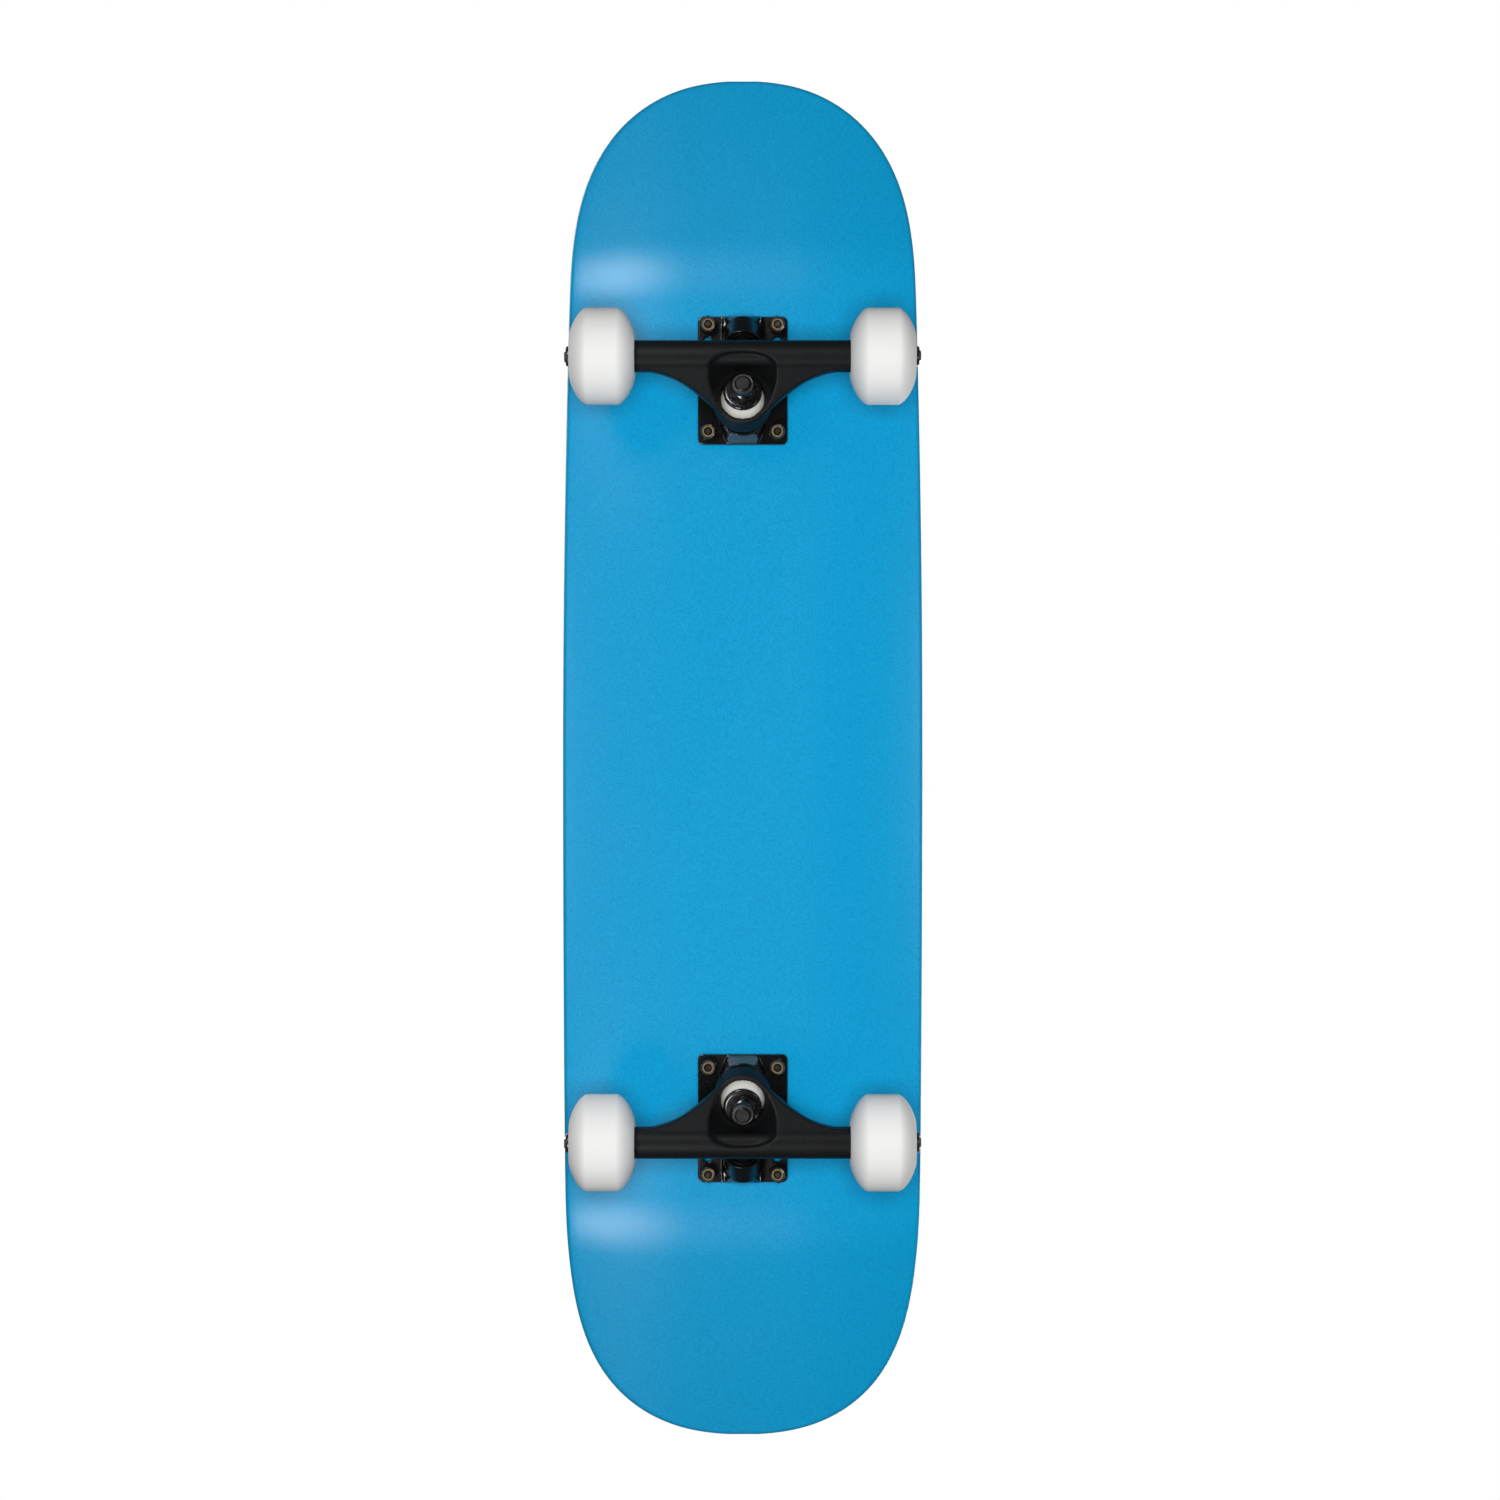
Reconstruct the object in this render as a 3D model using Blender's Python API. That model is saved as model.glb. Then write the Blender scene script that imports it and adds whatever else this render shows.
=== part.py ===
"""Skateboard: a kicked and dished deck with grip tape, two trucks and four wheels.

Metres, +Z up, +X to the nose, +Y to the left. The wheels stand on Z = 0, and X = 0 is the middle of
the deck's length. A truck is laid out in its own frame: the origin is the middle of its four bolts
on the deck's underside, x runs inboard to the middle of the board, and z is up, so everything in it
hangs at a negative z. Heights along the kingpin are measured down its axis from that underside.
"""

import math

import bmesh
import bpy
from mathutils import Matrix, Vector

MM = 0.001
INCH = 0.0254

# Gap between pieces that touch on the real board
GAP = 0.3 * MM

# Deck
DECK_LENGTH = 828 * MM
DECK_WIDTH = 216 * MM
DECK_THICKNESS = 11 * MM
GRIP_THICKNESS = 0.9 * MM
KICK_ANGLE = math.radians(20)
KICK_RADIUS = 115 * MM
KICK_MARGIN = 15 * MM
DISH_DEPTH = 11 * MM
DISH_FLAT_WIDTH = 60 * MM
EDGE_ROUND = 3.6 * MM
OUTLINE_SQUARENESS = 2.15
NOSE = {"side": 1, "round_length": 254 * MM, "round_power": 5.7, "taper": 3.5 * MM}
TAIL = {"side": -1, "round_length": 142 * MM, "round_power": 3.05, "taper": 9.4 * MM}

# Truck places and bolt patterns
TRUCK_SPACING = 441.3 * MM
TRUCK_SHIFT = -5.5 * MM
HOLES_LONG = 2.5 * INCH
HOLES_WIDE = 1.625 * INCH
SHORT_HOLES_LONG = 2.125 * INCH

# Baseplate
PLATE_THICKNESS = 5 * MM
PLATE_SIDE_MARGIN = 6.1 * MM
PLATE_OUTBOARD_MARGIN = 5.3 * MM
PLATE_INBOARD_MARGIN = 7.3 * MM
PLATE_CORNER = 3.2 * MM
BOSS_RADIUS = 13.3 * MM
BOSS_SEAT = 11.9 * MM
BOSS_HEAD_WALL = 3.4 * MM
BOSS_NOSE_WIDTH = 20 * MM
BOSS_NOSE_SETBACK = 4.6 * MM
HOUSING_WALL = 2.4 * MM

# Kingpin and what it carries, from the deck down
KINGPIN_BASE = 27 * MM
KINGPIN_LEAN = math.radians(18)
KINGPIN_RADIUS = 4.76 * MM
KINGPIN_HEAD_RADIUS = 8 * MM
KINGPIN_PROUD = 1.2 * MM
KINGPIN_NUT_FLATS = 14.3 * MM
KINGPIN_NUT_HEIGHT = 9.5 * MM
BUSHING_RADIUS = 13 * MM
BOARDSIDE_BUSHING_HEIGHT = 14.1 * MM
BOARDSIDE_BUSHING_END = 11.8 * MM
ROADSIDE_BUSHING_HEIGHT = 10.5 * MM
ROADSIDE_BUSHING_END = 10 * MM
WASHER_THICKNESS = 1.7 * MM
WASHER_LIP = 0.9 * MM
WASHER_WALL = 1 * MM

# Pivot
PIVOT_OUTBOARD = 24 * MM
PIVOT_DROP = 14 * MM
PIVOT_SLOPE = math.radians(40)
PIVOT_BALL_RADIUS = 5.2 * MM
PIVOT_CUP_WALL = 2.4 * MM
PIVOT_CUP_DEPTH = 6.7 * MM
STEM_LENGTH = 22 * MM
STEM_ROOT_RADIUS = 8.6 * MM

# Hanger and axle
HANGER_LENGTH = 136.4 * MM
HANGER_ARM_RADIUS = 9.3 * MM
HANGER_RING_WALL = 3.4 * MM
RING_WEB = 7.6 * MM
RING_LIP = 1.9 * MM
RING_HOLE_SLACK = 3.3 * MM
FLARE_HALF_WIDTH = 60 * MM
FLARE_CURVE = 10.8
AXLE_BELOW_RING = 22.2 * MM
AXLE_OUTBOARD_OF_RING = 24.5 * MM
AXLE_RADIUS = 4 * MM
AXLE_SLEEVE_WALL = 1.3 * MM
BOWL_HALF_WIDTH = 20.6 * MM
SOCKET_SLACK = 2.6 * MM
STEER_LIMIT = math.radians(15)

# Bearings, wheels and nuts
BEARING_RADIUS = 11 * MM
BEARING_WIDTH = 7 * MM
BEARING_LAND = 9.5 * MM
SHIELD_HOLE = 6.9 * MM
SHIELD_THICKNESS = 0.6 * MM
INNER_RING_RADIUS = 6.1 * MM
SPACER_LENGTH = 10 * MM
SPACER_RADIUS = 5.2 * MM
SPEED_RING = 1 * MM
WHEEL_RADIUS = 28 * MM
WHEEL_WIDTH = 38 * MM
WHEEL_TREAD = 17.4 * MM
WHEEL_MOUTH_RADIUS = 13.2 * MM
WHEEL_SIDE_FOOT = 8 * MM
WHEEL_SIDE_ROUND = 1.6
HUB_SHOULDER = 2.2 * MM
AXLE_NUT_FLATS = 12.7 * MM
AXLE_NUT_HEIGHT = 7.7 * MM
AXLE_PROUD = 1 * MM
BOLT_RADIUS = 2.4 * MM
BOLT_HEAD_RADIUS = 4.7 * MM
BOLT_PROUD = 1.9 * MM
LOCKNUT_FLATS = 9.5 * MM
LOCKNUT_HEIGHT = 5.9 * MM

# Facets round a turned piece, and the sharpest edge that is shaded smooth
FINE = 24
MEDIUM = 16
COARSE = 10
SMOOTH_ANGLE = math.radians(35)

# Places down the kingpin's axis
BOARDSIDE_WASHER_TOP = BOSS_SEAT + GAP
BOARDSIDE_BUSHING_TOP = BOARDSIDE_WASHER_TOP + WASHER_THICKNESS + GAP
RING_TOP = BOARDSIDE_BUSHING_TOP + BOARDSIDE_BUSHING_HEIGHT + GAP
RING_MIDDLE = RING_TOP + RING_WEB / 2
RING_BOTTOM = RING_TOP + RING_WEB
ROADSIDE_BUSHING_TOP = RING_BOTTOM + GAP
ROADSIDE_WASHER_TOP = ROADSIDE_BUSHING_TOP + ROADSIDE_BUSHING_HEIGHT + GAP
KINGPIN_NUT_TOP = ROADSIDE_WASHER_TOP + WASHER_THICKNESS + GAP
KINGPIN_END = KINGPIN_NUT_TOP + KINGPIN_NUT_HEIGHT + KINGPIN_PROUD

# Places in the truck's frame
KINGPIN_FRAME = Matrix.Translation((KINGPIN_BASE, 0, 0)) @ Matrix.Rotation(KINGPIN_LEAN, 4, "Y")
RING_CENTRE = KINGPIN_FRAME @ Vector((0, 0, -RING_MIDDLE))
AXLE_CENTRE = RING_CENTRE + Vector((-AXLE_OUTBOARD_OF_RING, 0, -AXLE_BELOW_RING))
PIVOT = Vector((-PIVOT_OUTBOARD, 0, -PIVOT_DROP))
PIVOT_FRAME = Matrix.Translation(PIVOT) @ Matrix.Rotation(math.pi / 2 + PIVOT_SLOPE, 4, "Y")
DECK_UNDERSIDE = WHEEL_RADIUS - AXLE_CENTRE.z

# Places along the axle, from the middle of the truck
STACK_HALF = SPACER_LENGTH / 2 + BEARING_WIDTH + SPEED_RING
WHEEL_PLACE = HANGER_LENGTH / 2 + GAP + STACK_HALF
AXLE_NUT_PLACE = WHEEL_PLACE + STACK_HALF + GAP
AXLE_HALF = AXLE_NUT_PLACE + AXLE_NUT_HEIGHT + AXLE_PROUD

# Sizes that follow from their neighbours
RING_SEAT_RADIUS = BUSHING_RADIUS + GAP
RING_RADIUS = RING_SEAT_RADIUS + HANGER_RING_WALL
KINGPIN_HOLE = KINGPIN_RADIUS + GAP
PIVOT_CUP_RADIUS = PIVOT_BALL_RADIUS + GAP + PIVOT_CUP_WALL
HOUSING_BORE = PIVOT_CUP_RADIUS + GAP
HOUSING_RADIUS = HOUSING_BORE + HOUSING_WALL


def clear_scene():
    for thing in list(bpy.data.objects):
        bpy.data.objects.remove(thing, do_unlink=True)


def make_material(name, color, roughness, metallic=0.0):
    material = bpy.data.materials.new(name)
    material.use_nodes = True
    shader = material.node_tree.nodes["Principled BSDF"]
    shader.inputs["Base Color"].default_value = (*color, 1)
    shader.inputs["Roughness"].default_value = roughness
    shader.inputs["Metallic"].default_value = metallic
    return material


def make_object(name, mesh, parent=None, frame=None):
    thing = bpy.data.objects.new(name, mesh)
    bpy.context.scene.collection.objects.link(thing)
    thing.parent = parent
    thing.matrix_local = frame or Matrix()
    return thing


def mesh_from(shape, name):
    """Turn a bmesh into a mesh with its faces pointing out."""
    bmesh.ops.recalc_face_normals(shape, faces=shape.faces)
    mesh = bpy.data.meshes.new(name)
    shape.to_mesh(mesh)
    shape.free()
    return mesh


def finish(mesh, material):
    mesh.materials.clear()
    mesh.materials.append(material)
    mesh.shade_smooth()
    mesh.set_sharp_from_angle(angle=SMOOTH_ANGLE)
    return mesh


def turned(name, profile, steps, phase=0.0):
    """Spin a profile of (radius, height) points round Z; one that starts and ends at radius 0 is
    capped, and any other is closed into a ring. A phase of 0.5 puts a facet, not a corner, on +X."""
    shape = bmesh.new()
    start = Matrix.Rotation(2 * math.pi * phase / steps, 3, "Z")
    points = [shape.verts.new(start @ Vector((radius, 0, height))) for radius, height in profile]
    closed = profile[0][0] > 0
    pairs = list(zip(points, points[1:])) + ([(points[-1], points[0])] if closed else [])
    edges = [shape.edges.new(pair) for pair in pairs]
    bmesh.ops.spin(
        shape, geom=points + edges, axis=(0, 0, 1), angle=2 * math.pi, steps=steps, use_merge=True
    )
    bmesh.ops.remove_doubles(shape, verts=shape.verts, dist=1e-6)
    return mesh_from(shape, name)


def drill(name, radius, low, high, steps=COARSE):
    """A plain cylinder along Z, used as a cutter or a rod."""
    return turned(name, [(0, low), (radius, low), (radius, high), (0, high)], steps)


def hexagon(name, flats, low, high, chamfer=0.0):
    """A hexagonal prism along Z, its corners cut back at the low end."""
    corner = flats / math.sqrt(3)
    steps = [(0, low), (corner - chamfer, low), (corner, low + chamfer), (corner, high), (0, high)]
    return turned(name, steps, 6)


def hull(name, points):
    """The convex body round a cloud of points."""
    shape = bmesh.new()
    for point in points:
        shape.verts.new(point)
    made = bmesh.ops.convex_hull(shape, input=shape.verts)
    spare = {part for key in ("geom_interior", "geom_unused") for part in made[key]}
    bmesh.ops.delete(
        shape, geom=[part for part in spare if isinstance(part, bmesh.types.BMVert)], context="VERTS"
    )
    bmesh.ops.dissolve_limit(
        shape, angle_limit=math.radians(0.5), verts=shape.verts, edges=shape.edges
    )
    return mesh_from(shape, name)


def prism(name, outline, axis, low, high):
    """Extrude an outline along X or Z; the outline's points are (x, y) or (y, z)."""
    shape = bmesh.new()
    place = (lambda a, b: (a, b, low)) if axis == "Z" else (lambda a, b: (low, a, b))
    face = shape.faces.new([shape.verts.new(place(a, b)) for a, b in outline])
    grown = bmesh.ops.extrude_face_region(shape, geom=[face])["geom"]
    reach = Vector((0, 0, high - low)) if axis == "Z" else Vector((high - low, 0, 0))
    bmesh.ops.translate(
        shape, vec=reach, verts=[part for part in grown if isinstance(part, bmesh.types.BMVert)]
    )
    return mesh_from(shape, name)


def circle(frame, radius, height, steps=MEDIUM):
    """Points of a circle round a frame's Z axis."""
    turn = 2 * math.pi / steps
    return [
        frame @ Vector((radius * math.cos(i * turn), radius * math.sin(i * turn), height))
        for i in range(steps)
    ]


def combine(name, base, steps):
    """Apply a list of (operation, mesh, frame) Booleans to a mesh, one after another."""
    body = make_object(name, base)
    tools = []
    for operation, mesh, frame in steps:
        tool = make_object(f"{name}_tool", mesh, frame=frame)
        tools.append(tool)
        cut = body.modifiers.new(operation.title(), "BOOLEAN")
        cut.operation = operation
        cut.solver = "EXACT"
        cut.object = tool
    seen = body.evaluated_get(bpy.context.evaluated_depsgraph_get())
    result = bpy.data.meshes.new_from_object(seen)
    for thing in [body, *tools]:
        bpy.data.objects.remove(thing, do_unlink=True)
    shape = bmesh.new()
    shape.from_mesh(result)
    bmesh.ops.remove_doubles(shape, verts=shape.verts, dist=1e-6)
    bmesh.ops.dissolve_degenerate(shape, edges=shape.edges, dist=1e-6)
    bpy.data.meshes.remove(result)
    return mesh_from(shape, name)


# ---------------------------------------------------------------------------------------- deck


def truck_place(side):
    return TRUCK_SHIFT + side * TRUCK_SPACING / 2


def kick_start(end):
    """Distance from the middle of the deck to where this end starts to bend up."""
    return end["side"] * truck_place(end["side"]) + HOLES_LONG / 2 + KICK_MARGIN


def flat_length(end):
    """Length of the deck's surface from its middle to this end's tip."""
    reach = DECK_LENGTH / 2 + EDGE_ROUND * math.sin(KICK_ANGLE)
    straight = reach - kick_start(end) - KICK_RADIUS * math.sin(KICK_ANGLE)
    return kick_start(end) + KICK_RADIUS * KICK_ANGLE + straight / math.cos(KICK_ANGLE)


def dish(across):
    """Rise and slope of the board's cross-section at a distance from its middle line."""
    rise_width = (DECK_WIDTH - DISH_FLAT_WIDTH) / 2
    share = max(0, abs(across) - DISH_FLAT_WIDTH / 2) / rise_width
    return DISH_DEPTH * share**2, math.atan(2 * DISH_DEPTH * share / rise_width)


def half_width(end, along):
    """Half the deck's width at a distance along its surface."""
    full = DECK_WIDTH / 2 + EDGE_ROUND * math.sin(dish(DECK_WIDTH / 2)[1])
    full -= end["taper"] * (along / flat_length(end)) ** 2
    share = (along - flat_length(end) + end["round_length"]) / end["round_length"]
    if share <= 0:
        return full
    return full * max(0, 1 - share ** end["round_power"]) ** (1 / OUTLINE_SQUARENESS)


def bent(end, along):
    """Where the middle line of the underside is, and its slope, at a distance along the surface."""
    past = along - kick_start(end)
    if past <= 0:
        return along, 0.0, 0.0
    angle = min(past / KICK_RADIUS, KICK_ANGLE)
    straight = max(0, past - KICK_RADIUS * KICK_ANGLE)
    x = kick_start(end) + KICK_RADIUS * math.sin(angle) + straight * math.cos(angle)
    return x, KICK_RADIUS * (1 - math.cos(angle)) + straight * math.sin(angle), angle


def board_point(end, along, across, height):
    """A point of the pressed board, at a height above its underside measured square to it."""
    rise, tilt = dish(across)
    lift = rise + height * math.cos(tilt)
    x, z, angle = bent(end, along)
    return Vector(
        (
            end["side"] * (x - lift * math.sin(angle)),
            across - math.copysign(height * math.sin(tilt), across),
            DECK_UNDERSIDE + z + lift * math.cos(angle),
        )
    )


def stations(end):
    """Distances along one half of the deck at which its cross-sections stand."""
    bend_rows, round_rows, last = 4, 8, math.radians(86)
    start, length = kick_start(end), flat_length(end)
    rows = [0.0, start - KICK_MARGIN - HOLES_LONG, start]
    rows += [start + KICK_RADIUS * KICK_ANGLE * i / bend_rows for i in range(1, bend_rows + 1)]
    for i in range(round_rows + 1):
        share = math.sin(last * i / round_rows) ** (2 / end["round_power"])
        rows.append(length - end["round_length"] * (1 - share))
    rows.sort()
    spaced = [rows[0]]
    for row in rows[1:]:
        if row - spaced[-1] > 2.5 * MM:
            spaced.append(row)
    return spaced


def board_shell(name, low, high, edge):
    """A closed board between two heights over the underside, its rim rounded by edge."""
    columns = [0.28, 0.6, 0.84, 1.0]
    across = [-c for c in reversed(columns)] + [0.0] + columns
    nose, tail = stations(NOSE), stations(TAIL)
    along = [(TAIL, row) for row in reversed(tail[1:])] + [(NOSE, row) for row in nose]
    layers = [(low, edge), (low + edge, 0), (high - edge, 0), (high, edge)] if edge else None
    layers = layers or [(low, 0), (high, 0)]

    shape = bmesh.new()
    size = Matrix.Diagonal((len(along) - 1, len(across) - 1, 1, 1))
    bmesh.ops.create_grid(
        shape, x_segments=len(along) - 1, y_segments=len(across) - 1, size=0.5, matrix=size
    )
    grown = bmesh.ops.extrude_face_region(shape, geom=shape.faces[:])["geom"]
    lifted = [part for part in grown if isinstance(part, bmesh.types.BMVert)]
    bmesh.ops.translate(shape, vec=(0, 0, len(layers) - 1), verts=lifted)
    upright = [e for e in shape.edges if abs(e.verts[0].co.z - e.verts[1].co.z) > 0.5]
    if len(layers) > 2:
        bmesh.ops.subdivide_edges(shape, edges=upright, cuts=len(layers) - 2)
    for vert in shape.verts:
        end, row = along[round(vert.co.x + (len(along) - 1) / 2)]
        share = across[round(vert.co.y + (len(across) - 1) / 2)]
        height, inset = layers[round(vert.co.z)]
        shrink = inset / flat_length(end)
        width = half_width(end, row) * (1 - inset / (DECK_WIDTH / 2))
        vert.co = board_point(end, row * (1 - shrink), share * width, height)
    return mesh_from(shape, name)


def bolt_places(long, wide):
    return [(sx * long / 2, sy * wide / 2) for sx in (1, -1) for sy in (1, -1)]


def deck_pattern():
    """Places of the eight mounting bolts on the deck."""
    return [
        (truck_place(side) + x, y)
        for side in (1, -1)
        for x, y in bolt_places(HOLES_LONG, HOLES_WIDE)
    ]


GRIP_BOTTOM = DECK_THICKNESS + GAP
GRIP_TOP = GRIP_BOTTOM + GRIP_THICKNESS
BOLT_HEAD_HEIGHT = BOLT_HEAD_RADIUS - BOLT_RADIUS
BOLT_END = -(GAP + PLATE_THICKNESS + GAP + LOCKNUT_HEIGHT + BOLT_PROUD)


def bolt_profile(slack=0.0, overrun=0.0):
    """Flat-head bolt, its head level with the grip tape; heights are over the deck's underside."""
    top = GRIP_TOP + overrun
    cone_top = GRIP_TOP - 0.4 * MM
    return [
        (0, top),
        (BOLT_HEAD_RADIUS + slack, top),
        (BOLT_HEAD_RADIUS + slack, cone_top),
        (BOLT_RADIUS + slack, cone_top - BOLT_HEAD_HEIGHT),
        (BOLT_RADIUS + slack, BOLT_END - overrun),
        (0, BOLT_END - overrun),
    ]


def make_deck():
    wood = make_material("blue_painted_maple", (0.002, 0.38, 0.72), 0.4)
    grit = make_material("black_grit", (0.012, 0.012, 0.013), 0.95)
    cutter = turned("bolt_hole", bolt_profile(slack=GAP, overrun=2 * MM), COARSE)
    holes = [
        ("DIFFERENCE", cutter, Matrix.Translation((x, y, DECK_UNDERSIDE))) for x, y in deck_pattern()
    ]
    deck = board_shell("deck", 0, DECK_THICKNESS, EDGE_ROUND)
    make_object("deck", finish(combine("deck", deck, holes), wood))
    grip = board_shell("grip_tape", GRIP_BOTTOM, GRIP_TOP, 0)
    make_object("grip_tape", finish(combine("grip_tape", grip, holes), grit))


# -------------------------------------------------------------------------------------- trucks


def baseplate_mesh():
    outboard = -HOLES_LONG / 2 - PLATE_OUTBOARD_MARGIN
    inboard = HOLES_LONG / 2 + PLATE_INBOARD_MARGIN
    half = HOLES_WIDE / 2 + PLATE_SIDE_MARGIN
    plate_bottom = -GAP - PLATE_THICKNESS
    corners = [(inboard, half), (outboard, half), (outboard, -half), (inboard, -half)]
    plate = bmesh.new()
    plate.from_mesh(prism("plate", corners, "Z", plate_bottom, -GAP))
    upright = [e for e in plate.edges if abs(e.verts[0].co.z - e.verts[1].co.z) > GAP]
    bmesh.ops.bevel(
        plate, geom=upright, offset=PLATE_CORNER, segments=3, profile=0.5, affect="EDGES", material=-1
    )

    foot = -GAP - 0.7 * PLATE_THICKNESS
    nose_half = BOSS_NOSE_WIDTH / 2
    boss_foot = [
        (inboard - 0.3 * MM, nose_half * 0.9),
        (inboard - 2.5 * MM, nose_half),
        (KINGPIN_BASE, BOSS_RADIUS),
        (KINGPIN_BASE - 1.4 * BOSS_RADIUS, BOSS_RADIUS * 0.9),
    ]
    nose_top = KINGPIN_FRAME.inverted() @ Vector((inboard - BOSS_NOSE_SETBACK, 0, -BOSS_SEAT))
    seat = [
        KINGPIN_FRAME @ Vector((min(point.x, nose_top.x), point.y, point.z))
        for point in circle(Matrix(), BOSS_RADIUS, -BOSS_SEAT)
    ]
    boss = hull("boss", seat + [(x, s * y, foot) for x, y in boss_foot for s in (1, -1)])

    cup_back = PIVOT_BALL_RADIUS + GAP + PIVOT_CUP_WALL
    housing_foot = [
        (outboard + 1 * MM, HOUSING_RADIUS * 0.9),
        (outboard + 4 * MM, HOUSING_RADIUS + 1.5 * MM),
        (-PIVOT_OUTBOARD + HOUSING_RADIUS, HOUSING_RADIUS + 1.5 * MM),
    ]
    barrel = circle(PIVOT_FRAME, HOUSING_RADIUS, PIVOT_CUP_DEPTH)
    barrel += circle(PIVOT_FRAME, HOUSING_RADIUS - 1.4 * MM, -cup_back)
    housing = hull("housing", barrel + [(x, s * y, foot) for x, y in housing_foot for s in (1, -1)])

    through = 40 * MM
    pocket = BOSS_SEAT - BOSS_HEAD_WALL
    cup_bore = drill("cup_bore", HOUSING_BORE, -cup_back - GAP, through, MEDIUM)
    kingpin_hole = drill("kingpin_hole", KINGPIN_HOLE, -through, 0, MEDIUM)
    head_pocket = drill("head_pocket", KINGPIN_HEAD_RADIUS + GAP, -pocket, through, MEDIUM)
    bolt_hole = drill("plate_hole", BOLT_RADIUS + GAP, -through, through)
    spare_row = HOLES_LONG / 2 - SHORT_HOLES_LONG
    places = bolt_places(HOLES_LONG, HOLES_WIDE)
    places += [(spare_row, HOLES_WIDE / 2), (spare_row, -HOLES_WIDE / 2)]
    steps = [
        ("UNION", boss, Matrix()),
        ("UNION", housing, Matrix()),
        ("DIFFERENCE", cup_bore, PIVOT_FRAME),
        ("DIFFERENCE", kingpin_hole, KINGPIN_FRAME),
        ("DIFFERENCE", head_pocket, KINGPIN_FRAME),
    ]
    steps += [("DIFFERENCE", bolt_hole, Matrix.Translation((x, y, 0))) for x, y in places]
    return combine("baseplate", mesh_from(plate, "plate"), steps)


def web_flare(across):
    """How far inboard of the truck's middle the hanger's web reaches, at a distance across it."""
    arm_edge = AXLE_CENTRE.x + 0.9 * HANGER_ARM_RADIUS
    return arm_edge + FLARE_CURVE * (FLARE_HALF_WIDTH - across) ** 2


def washer_room():
    """Circle that the roadside washer's rim stays inside while the hanger leans to its limit."""
    rim = ROADSIDE_BUSHING_END + GAP + WASHER_WALL
    lip = ROADSIDE_WASHER_TOP - WASHER_LIP - RING_MIDDLE
    far_face = ROADSIDE_WASHER_TOP + WASHER_THICKNESS - RING_MIDDLE
    reach = rim * math.cos(STEER_LIMIT) + far_face * math.sin(STEER_LIMIT)
    risen_lip = lip * math.cos(STEER_LIMIT) - rim * math.sin(STEER_LIMIT)
    return circle(KINGPIN_FRAME, reach + GAP, -RING_MIDDLE - risen_lip)


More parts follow.
